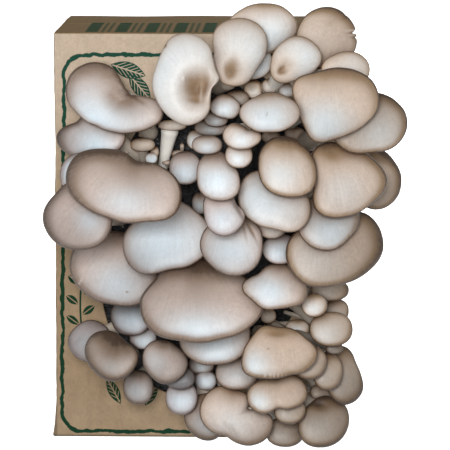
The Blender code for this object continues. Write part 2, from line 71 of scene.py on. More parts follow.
class Wire:
    """An output of a node, on which arithmetic adds Math nodes."""

    def __init__(self, graph: "Graph", socket: bpy.types.NodeSocket) -> None:
        """Keeps the tree and the socket."""
        self.graph = graph
        self.socket = socket

    def math(self, operation: str, *others: "Wire | float", clamp: bool = False) -> "Wire":
        """A Math node with this value as its first input, and the others after it."""
        inputs = dict(enumerate((self, *others)))
        return self.graph.add("ShaderNodeMath", inputs, operation=operation, use_clamp=clamp)

    def __add__(self, other: "Wire | float") -> "Wire":
        """self + other."""
        return self.math("ADD", other)

    __radd__ = __add__

    def __sub__(self, other: "Wire | float") -> "Wire":
        """self - other."""
        return self.math("SUBTRACT", other)

    def __rsub__(self, other: float) -> "Wire":
        """other - self."""
        return self.math("MULTIPLY_ADD", -1.0, other)

    def __mul__(self, other: "Wire | float") -> "Wire":
        """self * other."""
        return self.math("MULTIPLY", other)

    __rmul__ = __mul__

    def __truediv__(self, other: "Wire | float") -> "Wire":
        """self / other."""
        return self.math("DIVIDE", other)

    def __pow__(self, other: float) -> "Wire":
        """self to the power of other."""
        return self.math("POWER", other)

    def __neg__(self) -> "Wire":
        """The opposite number."""
        return self * -1.0

    def __abs__(self) -> "Wire":
        """The absolute value."""
        return self.math("ABSOLUTE")

    def most(self, other: "Wire | float") -> "Wire":
        """The larger of two values."""
        return self.math("MAXIMUM", other)

    def least(self, other: "Wire | float") -> "Wire":
        """The smaller of two values."""
        return self.math("MINIMUM", other)

    def held(self) -> "Wire":
        """The value kept between 0 and 1."""
        return self.math("ADD", 0.0, clamp=True)

    def rise(self, low: float, high: float) -> "Wire":
        """A smooth step from 0 at low to 1 at high, which may be under low."""
        inputs = {"Value": self, "From Min": low, "From Max": high, "To Min": 0.0, "To Max": 1.0}
        return self.graph.add("ShaderNodeMapRange", inputs, interpolation_type="SMOOTHSTEP")


Feed = Wire | float             # what feeds a socket that takes a number
Looks = dict[str, Wire | float | Sequence]


class Graph:
    """A node tree that is written as expressions."""

    MIX_FIRST, MIX_SECOND, MIX_RESULT = 6, 7, 2     # the Mix node's sockets for colours

    def __init__(self, tree: bpy.types.NodeTree) -> None:
        """Keeps the tree."""
        self.tree = tree

    def add(self, kind: str, inputs: dict | None = None, output: int | str = 0, **settings: object) -> Wire:
        """Any node.

        Args:
            kind: the node's type.
            inputs: its sockets' values or wires, by name or number.
            output: the socket that is returned.
            settings: its properties, which are set first.

        Returns:
            The chosen output.
        """
        node = self.tree.nodes.new(kind)
        for name, value in settings.items():
            setattr(node, name, value)
        for key, value in (inputs or {}).items():
            self.feed(node.inputs[key], value)
        return Wire(self, node.outputs[output])

    def feed(self, socket: bpy.types.NodeSocket, value: Feed | Sequence) -> None:
        """Links a wire to a socket, or sets the socket's own value.

        Args:
            socket: the socket.
            value: a wire, or what the socket is set to.
        """
        if isinstance(value, Wire):
            self.tree.links.new(value.socket, socket)
        else:
            socket.default_value = value

    def vector(self, operation: str, *terms: Wire | Sequence) -> Wire:
        """A Vector Math node."""
        return self.add("ShaderNodeVectorMath", dict(enumerate(terms)), operation=operation)

    def scaled(self, vector: Wire, scale: Feed) -> Wire:
        """A vector times a number."""
        return self.add("ShaderNodeVectorMath", {0: vector, "Scale": scale}, operation="SCALE")

    def joined(self, x: Feed, y: Feed, z: Feed = 0.0) -> Wire:
        """A vector from its three parts."""
        return self.add("ShaderNodeCombineXYZ", {0: x, 1: y, 2: z})

    def parts(self, vector: Wire) -> tuple[Wire, ...]:
        """The three parts of a vector."""
        first = self.add("ShaderNodeSeparateXYZ", {0: vector})
        return tuple(Wire(self, socket) for socket in first.socket.node.outputs)

    def mixed(self, share: Feed, first: Wire | Colour, second: Wire | Colour, how: str = "MIX") -> Wire:
        """A Mix node on colours.

        Args:
            share: how much of the second colour.
            first: the colour at 0.
            second: the colour at 1.
            how: the node's blend type.

        Returns:
            The mixed colour.
        """
        first, second = (c if isinstance(c, Wire) else (*c, 1.0) for c in (first, second))
        inputs = {0: share, self.MIX_FIRST: first, self.MIX_SECOND: second}
        return self.add("ShaderNodeMix", inputs, self.MIX_RESULT, data_type="RGBA", blend_type=how)

    def noise(self, at: Wire, scale: float, detail: float, rough: float, bend: float = 0.0) -> Wire:
        """Noise from -1 to 1: its octaves are given by detail, the weight of the finer ones by rough."""
        inputs = {"Vector": at, "Scale": scale, "Detail": detail, "Roughness": rough, "Distortion": bend}
        return self.add("ShaderNodeTexNoise", inputs) * 2.0 - 1.0

    def attribute(self, name: str, output: str = "Fac") -> Wire:
        """A named attribute of the mesh, in a material."""
        return self.add("ShaderNodeAttribute", output=output, attribute_name=name)

    def bump(self, height: Wire, distance: float, strength: float = 1.0) -> Wire:
        """A normal bent by a relief; a height of 1 stands for the distance, in millimetres."""
        inputs = {"Height": height, "Distance": distance * METRE, "Strength": strength}
        return self.add("ShaderNodeBump", inputs)


# ---- finishes ----

@dataclass(frozen=True)
class Finish:
    """A material: fixed numbers on the shader's sockets, and an even colour or the pattern of a subclass."""

    name: str
    roughness: float = 0.5
    coat: float = 0.0
    coat_roughness: float = 0.3
    specular: float = 0.5
    even: Colour = (0.90, 0.90, 0.90)

    def material(self) -> bpy.types.Material:
        """The Blender material, made once.

        Returns:
            The material, the same one each time.
        """
        made = bpy.data.materials.get(self.name)
        if made:
            return made
        made = bpy.data.materials.new(self.name)
        made.use_nodes = True
        shader = made.node_tree.nodes["Principled BSDF"]
        fixed = {"Roughness": self.roughness, "Coat Weight": self.coat, "Coat Roughness": self.coat_roughness,
                 "Specular IOR Level": self.specular}
        graph = Graph(made.node_tree)
        for socket, value in (fixed | self.pattern(graph)).items():
            graph.feed(shader.inputs[socket], value)
        return made

    def pattern(self, graph: Graph) -> Looks:
        """What varies over the surface, by the shader's socket."""
        return {"Base Color": (*self.even, 1.0)}

    def place(self, graph: Graph) -> Wire:
        """The point's place on the object, in millimetres."""
        return graph.scaled(graph.add("ShaderNodeTexCoord", output="Object"), 1 / METRE)


@dataclass(frozen=True)
class FleshFinish(Finish):
    """Skin of the caps and flesh of the stems.

    Attributes of the mesh say where a cap is pale, partly with a painted highlight; brown, partly with
    painted shade;
    bluish or warm, partly with a painted tint of the light; or bare flesh; how light it is, with painted
    light and shade; and how closed in it is by its neighbours, which darkens it as painted shade. The vector
    "fibre" runs along the fine threads of the skin.
    """

    taupe: Colour = (0.55, 0.435, 0.355)
    # bluish and warm copies of the colours, mixed by the cap's hue and a painted tint of the light
    taupe_cool: Colour = (0.44, 0.375, 0.375)
    taupe_warm: Colour = (0.48, 0.375, 0.285)
    pale: Colour = (0.76, 0.75, 0.715)
    # bluish pale of the painted highlights
    pale_cool_highlight: Colour = (0.61, 0.71, 0.79)
    tan: Colour = (0.27, 0.180, 0.108)
    tan_cool: Colour = (0.235, 0.200, 0.205)
    brown: Colour = (0.085, 0.052, 0.033)
    stem: Colour = (0.74, 0.73, 0.69)
    # the stems' colour with painted shade
    stem_painted_shade: Colour = (0.53, 0.44, 0.345)
    painted_occlusion_tint: Colour = (0.82, 0.92, 0.98)    # painted shade where neighbours close it in: how much darker, in each colour
    thread_grain: float = 0.16              # how much lighter and darker each pattern makes the skin
    mottle_grain: float = 0.20
    pore_grain: float = 0.18
    thread_depth: float = 0.10              # how deep each one lies in the relief
    broad_depth: float = 0.12
    mottle_depth: float = 0.05
    pore_depth: float = 0.05
    lightest: float = 1.18

    def pattern(self, graph: Graph) -> Looks:
        """Taupe that fades to pale and darkens to brown, with threads, mottling and pores.

        The pale is partly painted highlight, and the brown and the darkening are partly painted shade.

        Args:
            graph: the material's node tree.

        Returns:
            What feeds each of the shader's sockets.
        """
        at, fibre = self.place(graph), graph.attribute("fibre", "Vector")
        faded, stain, margin, cool_hue_and_painted_tint, bare, tone_and_painted_light, painted_occlusion = map(
            graph.attribute, ("pale", "brown", "margin", "cool_hue_and_painted_tint", "bare", "tone_and_painted_light", "painted_occlusion"))
        threads, broad = graph.noise(fibre, 1.0, 3.0, 0.62), graph.noise(fibre, 0.28, 2.0, 0.5)
        cloud, mottle = graph.noise(at, 0.09, 3.0, 0.55), graph.noise(at, 0.42, 3.0, 0.6)
        pores = graph.noise(at, 1.6, 2.0, 0.6)
        pale = (faded * (1.0 + threads * 0.04 + broad * 0.05) + cloud * 0.07).held()
        streaks = threads * (0.01 + stain * 0.10 + margin * 0.30) + broad * (0.01 + stain * 0.06)
        brown = (stain + streaks + cloud * 0.08 + mottle * (0.03 + stain * 0.28)).held()
        # bluish or warm: the cap's own hue and a painted tint of cool light from the left and warm light from
        # the right
        cold = cool_hue_and_painted_tint.most(0.0)
        skin = graph.mixed(cold, self.taupe, self.taupe_cool)
        skin = graph.mixed((-cool_hue_and_painted_tint).most(0.0), skin, self.taupe_warm)
        # pale leans to a bluish painted highlight
        light = graph.mixed((cool_hue_and_painted_tint * 0.6 + 0.65).held(), self.pale, self.pale_cool_highlight)
        skin = graph.mixed(pale, skin, light)
        skin = graph.mixed(brown.rise(0.0, 0.55), skin, graph.mixed(cold, self.tan, self.tan_cool))
        skin = graph.mixed(brown.rise(0.45, 1.0), skin, self.brown)
        # stems: white flesh, or the painted shade colour where the skin's flesh is low
        skin = graph.mixed(bare, skin, graph.mixed(faded, self.stem_painted_shade, self.stem))
        grain = threads * self.thread_grain + mottle * self.mottle_grain + pores * self.pore_grain
        grain = 1.0 + grain * (1.0 - pale * 0.6) + broad * 0.05
        # painted light and shade: the cap's lightness and painted gradient, darkened where neighbours close
        # it in (less on stems)
        painted_occlusion = painted_occlusion * (1.0 - bare * 0.6)
        dim = graph.joined(*((tone_and_painted_light * (1.0 - painted_occlusion * share)).least(self.lightest) * grain
                             for share in self.painted_occlusion_tint))
        relief = (threads * self.thread_depth + broad * self.broad_depth + pores * self.pore_depth
                  + mottle * self.mottle_depth)
        return {
            "Base Color": graph.mixed(1.0, skin, dim, "MULTIPLY"),
            "Roughness": (self.roughness + mottle * 0.05 + brown * 0.06 + bare * 0.15).held(),
            "Normal": graph.bump(relief, 1.0, 0.6),
        }


@dataclass(frozen=True)
class GrainFinish(Finish):
    """Two colours mixed by one noise, over the relief of another: gill blades, torn board and mycelium.

    A noise is given by its scale, its octaves and the weight of the finer ones.
    """

    light: Colour = (1.0, 1.0, 1.0)
    dark: Colour = (0.0, 0.0, 0.0)
    share: float = 0.4          # of the dark colour
    swing: float = 0.6          # of that share with the noise
    stain: Colour = (1.0, 4.0, 0.6)
    grain: Colour = (1.0, 4.0, 0.6)
    depth: float = 0.25         # of the relief, in millimetres
    stretch: Colour = (1.0, 1.0, 1.0)

    def pattern(self, graph: Graph) -> Looks:
        """Stains and relief.

        Args:
            graph: the material's node tree.

        Returns:
            What feeds each of the shader's sockets.
        """
        at = graph.vector("MULTIPLY", self.place(graph), self.stretch)
        share = self.share + graph.noise(at, *self.stain) * self.swing
        return {
            "Base Color": graph.mixed(share.held(), self.light, self.dark),
            "Normal": graph.bump(graph.noise(at, *self.grain), self.depth),
        }


@dataclass(frozen=True)
class Leaf:
    """A printed leaf: its middle, half length, half width and turn from the x axis in degrees."""

    x: float
    z: float
    long: float
    wide: float
    turn: float

    VEINS = 2.6                 # how close they stand
    MIDRIB = (0.25, 0.5)        # from its middle to the ink

    def mask(self, x: Wire, z: Wire) -> Wire:
        """Where the leaf is inked, between its pale midrib and veins.

        Args:
            x: the place across the front.
            z: its height.

        Returns:
            A wire that is 1 where there is ink.
        """
        cos, sin = math.cos(math.radians(self.turn)), math.sin(math.radians(self.turn))
        along = (x - self.x) * cos + (z - self.z) * sin
        across = abs((z - self.z) * cos - (x - self.x) * sin)
        inside = (1.0 - along * along * (1 / self.long ** 2)) * self.wide - across
        veins = ((along * 0.8 - across * 1.1) * self.VEINS).math("SINE")
        cut = across.rise(*self.MIDRIB) * (1.0 - veins.rise(0.62, 0.85) * 0.9)
        return inside.rise(0.0, 0.35) * (1.0 - inside.rise(0.7, 0.9) * (1.0 - cut))


@dataclass(frozen=True)
class KraftFinish(Finish):
    """Kraft board with a wavy printed border, leaves and a row of blocks on the top."""

    board: Colour = (0.54, 0.435, 0.335)
    low: Colour = (0.325, 0.235, 0.148)
    top: Colour = (0.255, 0.175, 0.09)
    fleck: Colour = (0.22, 0.15, 0.09)
    ink: Colour = (0.0, 0.056, 0.036)
    low_ink: Colour = (0.0, 0.032, 0.015)
    top_ink: Colour = (0.0, 0.054, 0.022)
    border_half: Pair = (82.0, 118.0)
    border_height: float = 122.0
    border_lean: float = 0.013
    border_round: float = 12.5
    line: float = 1.15
    leaves: tuple[Leaf, ...] = (
        Leaf(-41.0, 230.5, 11.5, 5.2, -18.0),
        Leaf(-34.0, 220.0, 10.5, 4.8, -50.0),
        Leaf(-51.0, 29.5, 9.5, 3.6, 118.0),
        Leaf(-27.5, 27.5, 8.5, 3.4, 62.0),
    )
    sprig_x: float = -69.0
    sprig_z: Pair = (58.0, 108.0)
    sprig_step: float = 6.4
    block_step: float = 18.0
    block_x: Pair = (-69.0, 30.0)
    block_y: Pair = (-59.0, 6.0)
    flute: float = 6.4
    light_from: Pair = (120.0, 252.0)       # heights between which the board turns lighter
    top_edge: Pair = (252.6, 253.1)         # z and y where the front's colours give way to the next face's
    front_edge: Pair = (-61.8, -60.8)
    # where painted shade darkens the side folds, x, and the foot, z
    side_fold_painted_shade: Pair = (85.6, 87.2)
    foot_painted_shadow: Pair = (0.4, 2.2)

    def border(self, graph: Graph, x: Wire, z: Wire, at: Wire) -> Wire:
        """The wavy line round the front.

        Args:
            graph: the material's node tree.
            x: the place across the front.
            z: its height.
            at: the place in space.

        Returns:
            A wire that is 1 where there is ink.
        """
        across = abs(x) - (self.border_half[0] - (z - self.border_height) * self.border_lean)
        up = abs(z - self.border_height) - self.border_half[1]
        out_x, out_z = across + self.border_round, up + self.border_round
        corner = (out_x.most(0.0) ** 2.0 + out_z.most(0.0) ** 2.0) ** 0.5
        edge = corner + out_x.most(out_z).least(0.0) - self.border_round
        wave = graph.noise(at, 0.17, 1.0, 0.5) * 1.4 + graph.noise(at, 0.6, 2.0, 0.6) * 0.45
        thick = self.line + graph.noise(at, 0.23, 1.0, 0.5) * 0.35
        return 1.0 - (abs(edge + wave) - thick).rise(-0.18, 0.18)

    def sprig(self, x: Wire, z: Wire) -> Wire:
        """A stem with leaves on either side in turn, beside the window.

        Args:
            x: the place across the front.
            z: its height.

        Returns:
            A wire that is 1 where there is ink.
        """
        low, high = self.sprig_z
        bend = (z - low) * (z - high) * 0.004
        beside = x - self.sprig_x - bend
        step = ((z - low) / self.sprig_step).math("FLOOR")
        height = z - low - (step + 0.5) * self.sprig_step
        side = step.math("MODULO", 2.0) * 2.0 - 1.0
        leaf_x, leaf_z = beside * side - 5.2, height - 0.4
        along = leaf_x * 0.80 + leaf_z * 0.60
        across = abs(leaf_z * 0.80 - leaf_x * 0.60)
        leaf = ((1.0 - along * along / 26.0) * 2.5 - across).rise(0.0, 0.3) * across.rise(0.18, 0.4)
        stem = 1.0 - abs(beside).rise(0.45, 0.7)
        band = (z - low).rise(0.0, 0.5) * (high - z).rise(0.0, 0.5)
        return leaf.most(stem) * band

    def blocks(self, x: Wire, y: Wire) -> Wire:
        """A row of wide and narrow blocks on the top, softly printed.

        Args:
            x: the place across the top.
            y: its depth.

        Returns:
            A wire that is 1 where there is ink.
        """
        low, high = self.block_x
        run = (x - low) / self.block_step
        run = (run - run.math("FLOOR")) * self.block_step
        wide = (3.9 - abs(run - 5.0)).rise(-0.8, 0.8)
        thin = (1.0 - abs(abs(run - 13.6) - 1.9)).rise(-0.6, 0.6) * 0.75
        near, far = self.block_y
        row = (y - near).rise(-1.0, 1.5) * (far - y).rise(-1.0, 1.5)
        return wide.most(thin) * row * (x - low).rise(-0.5, 0.5) * (high - x).rise(-0.5, 0.5)

    def pattern(self, graph: Graph) -> Looks:
        """Mottled board with fibres and faint flutes, darker at the foot and on the top, with painted shade
        along the side folds and the bottom edge, and the print.

        Args:
            graph: the material's node tree.

        Returns:
            What feeds each of the shader's sockets.
        """
        at = self.place(graph)
        x, y, z = graph.parts(at)
        fibre_x = graph.noise(graph.vector("MULTIPLY", at, (0.35, 1.0, 2.6)), 1.0, 3.0, 0.6)
        fibre_z = graph.noise(graph.vector("MULTIPLY", at, (2.4, 1.0, 0.4)), 1.0, 3.0, 0.6)
        broad = graph.noise(at, 0.022, 3.0, 0.55)
        cloud = graph.noise(at, 0.13, 4.0, 0.6)
        flecks = graph.noise(graph.vector("MULTIPLY", at, (1.0, 1.0, 0.45)), 0.9, 2.0, 0.7)
        rows = (x * (math.tau / self.flute)).math("SINE")
        low = (0.95 - z.rise(*self.light_from) * 0.95 + broad * 0.30).held()
        colour = graph.mixed(low, self.board, self.low)
        colour = graph.mixed(flecks.rise(0.38, 0.75) * 0.30, colour, self.fleck)
        on_top = z.rise(*self.top_edge)
        colour = graph.mixed(on_top, colour, self.top)
        front = 1.0 - y.rise(*self.front_edge)
        shade = 1.0 + cloud * 0.22 + fibre_x * 0.14 + fibre_z * 0.14 + flecks * 0.16 + rows * 0.012
        # painted shade: darker along the side folds and in a line along the foot
        edge = 1.0 - abs(x).rise(*self.side_fold_painted_shade) * (1.0 - y.rise(-61.5, -60.5)) * 0.45
        shade = shade * edge * (0.6 + z.rise(*self.foot_painted_shadow) * 0.4)
        colour = graph.mixed(1.0, colour, graph.joined(shade, shade, shade), "MULTIPLY")
        print_mask = self.border(graph, x, z, at).most(self.sprig(x, z))
        for leaf in self.leaves:
            print_mask = print_mask.most(leaf.mask(x, z))
        print_mask = (print_mask * front).most(self.blocks(x, y) * on_top * 0.9)
        print_mask = print_mask * (0.97 - (fibre_x + fibre_z).rise(0.5, 1.3) * 0.4)
        ink = graph.mixed(on_top, graph.mixed(low, self.ink, self.low_ink), self.top_ink)
        colour = graph.mixed(print_mask, colour, ink)
        relief = fibre_x * 0.5 + fibre_z * 0.5 + cloud * 0.3 + rows * 0.5
        return {
            "Base Color": colour,
            "Roughness": (self.roughness + cloud * 0.04 - print_mask * 0.06).held(),
            "Normal": graph.bump(relief, 0.09, 0.7),
        }


@dataclass(frozen=True)
class FilmFinish(Finish):
    """Thin black plastic film, creased over the block, with patches of dirt and of painted blue-grey sheen.
    """

    film: Colour = (0.003, 0.003, 0.004)
    # patches of dirt and painted blue-grey sheen
    dust_and_sheen: Colour = (0.010, 0.012, 0.016)

    def pattern(self, graph: Graph) -> Looks:
        """Fine creases, and patches of dirt and painted sheen.

        Args:
            graph: the material's node tree.

        Returns:
            What feeds each of the shader's sockets.
        """
        at = self.place(graph)
        creases = abs(graph.noise(at, 0.30, 3.0, 0.55, 1.2))
        fine = abs(graph.noise(graph.vector("MULTIPLY", at, (1.0, 1.0, 0.4)), 1.1, 2.0, 0.5, 0.8))
        dust_and_sheen = graph.noise(at, 0.11, 3.0, 0.6)
        return {
            "Base Color": graph.mixed(dust_and_sheen.rise(0.0, 0.9) * 0.6, self.film, self.dust_and_sheen),
            "Roughness": (self.roughness + dust_and_sheen * 0.10 + fine * 0.1).held(),
            "Normal": graph.bump(creases * 1.4 + fine * 0.1, 0.8, 0.6),
        }


FLESH = FleshFinish("mushroom_flesh_fine", 0.46, coat=0.05, coat_roughness=0.35, specular=0.4)
GILL = GrainFinish("mushroom_gills_fine", 0.62, specular=0.35, light=(0.66, 0.60, 0.53),
                   dark=(0.42, 0.34, 0.28), share=0.25, swing=0.35, stain=(0.25, 3.0, 0.6),
                   grain=(3.0, 2.0, 0.5), depth=0.05)
KRAFT = KraftFinish("kraft_board_fine", 0.9, specular=0.04)
# the board's cut edge, its colours darkened with painted shade
CUT_BOARD_PAINTED_SHADE = GrainFinish("cut_board_painted_shade", 0.9, specular=0.2, light=(0.36, 0.26, 0.17),
                        dark=(0.12, 0.08, 0.05), stain=(1.3, 4.0, 0.65), grain=(1.3, 4.0, 0.65),
                        stretch=(1.0, 2.4, 1.0))
FILM = FilmFinish("black_film_fine", 0.34, specular=0.22)
MYCELIUM = GrainFinish("mycelium_fine", 0.9, specular=0.2, light=(0.70, 0.69, 0.64), dark=(0.42, 0.38, 0.31),
                       swing=-0.6, stain=(1.1, 4.0, 0.7), grain=(1.1, 4.0, 0.7), depth=0.5)
FLOOR = Finish("floor_pale", 0.6, specular=0.3)


# ---- meshes ----

def mesh_object(name: str, points: Array, faces: Iterable[Sequence[int]], finishes: Sequence[Finish],
                edges: Iterable[Sequence[int]] = ()) -> bpy.types.Object:
    """A mesh object that is shaded smooth.

    Args:
        name: the object's name.
        points: its points in millimetres.
        faces: its faces, facing out.
        finishes: its materials, in the order of its slots.
        edges: its loose edges.

    Returns:
        The object, at the origin.
    """
    mesh = bpy.data.meshes.new(name)
    mesh.from_pydata((np.asarray(points) * METRE).tolist(), list(edges), list(faces))
    for finish in finishes:
        mesh.materials.append(finish.material())
    mesh.shade_smooth()
    made = bpy.data.objects.new(name, mesh)
    bpy.context.scene.collection.objects.link(made)
    return made


def loft(rings: Sequence[Array], poles: Sequence[Place]) -> tuple[Array, list[tuple[int, ...]]]:
    """A closed skin over a stack of rings.

    Args:
        rings: the rings, each with the same number of points, anticlockwise seen from the first pole.
        poles: the points that close the two ends.

    Returns:
        The points, which are the first pole, the rings and the last pole, and the faces.
    """
    sides = len(rings[0])
    points = np.vstack([poles[0], *rings, poles[1]])
    last = len(points) - 1
    near = np.arange(sides)
    far = np.roll(near, -1)
    faces = [(0, 1 + i, 1 + j) for i, j in zip(near, far)]
    for k in range(len(rings) - 1):
        a, b = 1 + k * sides, 1 + (k + 1) * sides
        faces += zip(a + near, b + near, b + far, a + far)
    faces += [(last, last - sides + j, last - sides + i) for i, j in zip(near, far)]
    return points, [tuple(map(int, face)) for face in faces]


def store(mesh: bpy.types.Mesh, name: str, values: Array) -> None:
    """Stores a number or a vector for each point of a mesh.

    Args:
        mesh: the mesh.
        name: the attribute's name.
        values: a number or a row for each point.
    """
    vector = np.ndim(values) == 2
    made = mesh.attributes.new(name, "FLOAT_VECTOR" if vector else "FLOAT", "POINT")
    made.data.foreach_set("vector" if vector else "value", np.ravel(values).astype(np.float32))


def read(items: bpy.types.bpy_prop_collection, what: str, kind: type = np.float32, wide: int = 1) -> Array:
    """A value of each item, or a vector of it in rows that are this wide.

    Args:
        items: points, loops or faces of a mesh.
        what: the property that is read.
        kind: the type of its numbers.
        wide: how many of them an item has.

    Returns:
        The values, in rows if they are vectors.
    """
    flat = np.zeros(len(items) * wide, kind)
    items.foreach_get(what, flat)
    return flat if wide == 1 else flat.reshape(-1, wide)


def solid_of(made: bpy.types.Object) -> bpy.types.Object:
    """Turns what an object's modifiers give into its plain mesh.

    Args:
        made: the object, which loses its modifiers.

    Returns:
        The same object.
    """
    view = bpy.context.evaluated_depsgraph_get()
    result = bpy.data.meshes.new_from_object(made.evaluated_get(view), depsgraph=view)
    made.modifiers.clear()
    made.data = result
    return made


class Growing(Graph):
    """A Geometry Nodes tree with named inputs."""

    def __init__(self, name: str, **sizes: str) -> None:
        """Makes the group.

        Args:
            name: the group's name.
            sizes: the type of each named input, such as Float.
        """
        group = bpy.data.node_groups.new(name, "GeometryNodeTree")
        group.interface.new_socket("Geometry", in_out="INPUT", socket_type="NodeSocketGeometry")
        group.interface.new_socket("Geometry", in_out="OUTPUT", socket_type="NodeSocketGeometry")
        for size, kind in sizes.items():
            group.interface.new_socket(size, in_out="INPUT", socket_type="NodeSocket" + kind)
        super().__init__(group)
        self.entry = group.nodes.new("NodeGroupInput")
        self.exit = group.nodes.new("NodeGroupOutput")

    def given(self, name: str) -> Wire:
        """A named input."""
        return Wire(self, self.entry.outputs[name])

    def painted(self, geometry: Wire, look: str) -> Wire:
        """A geometry with the material of a named input."""
        return self.add("GeometryNodeSetMaterial", {"Geometry": geometry, "Material": self.given(look)})

    def close(self, geometry: Wire, look: str = "") -> None:
        """Realizes the result, gives it the material of a named input, if any, and hands it out."""
        real = self.add("GeometryNodeRealizeInstances", {"Geometry": geometry})
        self.feed(self.exit.inputs[0], self.painted(real, look) if look else real)

    def grow(self, made: bpy.types.Object, **sizes: float | bpy.types.Material) -> bpy.types.Object:
        """Runs the tree on an object and leaves its result as the object's plain mesh.

        Args:
            made: the object.
            sizes: a value for each named input.

        Returns:
            The object.
        """
        change = made.modifiers.new(self.tree.name, "NODES")
        change.node_group = self.tree
        for item in self.tree.interface.items_tree:
            if item.in_out == "INPUT" and item.name in sizes:
                change[item.identifier] = sizes[item.name]
        return solid_of(made)


# ---- mushrooms ----

FRONT = -63.5                   # the carton's front plane, y
SIGHT = (83.0, FRONT - 2000.0, 431.0)
WINDOW_AT = (8.5, 129.0)        # centre of the oval window, x and z
WINDOW_HALF = (66.0, 104.0)
WINDOW_LEAN = math.radians(12)
BOARD = 3.0                     # thickness of the corrugated board


def circle(sides: int) -> Array:
    """Equal angles round a circle."""
    return np.arange(sides) * math.tau / sides


def ways(angle: Array) -> Array:
    """Ways of length 1 at the given angles, in rows."""
    return np.stack([np.cos(angle), np.sin(angle)], axis=-1)


def placed(points: Array) -> Array:
    """Points given as x, z on the front plane and distance ahead, brought to their place in space.

    Args:
        points: the points, in rows.

    Returns:
        x, y and z in rows.
    """
    x, z, ahead = np.asarray(points).T
    share = ahead / (FRONT - SIGHT[1])
    return np.column_stack([x + (SIGHT[0] - x) * share, FRONT - ahead, z + (SIGHT[2] - z) * share])


def in_window(flat: Array, more: float = 0.0) -> Array:
    """How far out places on the front plane lie in the window: 1 is its edge, widened by some millimetres.

    Args:
        flat: x and z, in rows.
        more: by how much the window is widened.

    Returns:
        A share for each place.
    """
    across, up = (np.asarray(flat) - WINDOW_AT).T
    cos, sin = math.cos(WINDOW_LEAN), math.sin(WINDOW_LEAN)
    wide, tall = across * cos - up * sin, across * sin + up * cos
    return np.hypot(wide / (WINDOW_HALF[0] + more), tall / (WINDOW_HALF[1] + more))


def smooth(value: Array, low: float, high: float) -> Array:
    """A smooth step from 0 at low to 1 at high."""
    share = np.clip((value - low) / (high - low), 0, 1)
    return share * share * (3 - 2 * share)


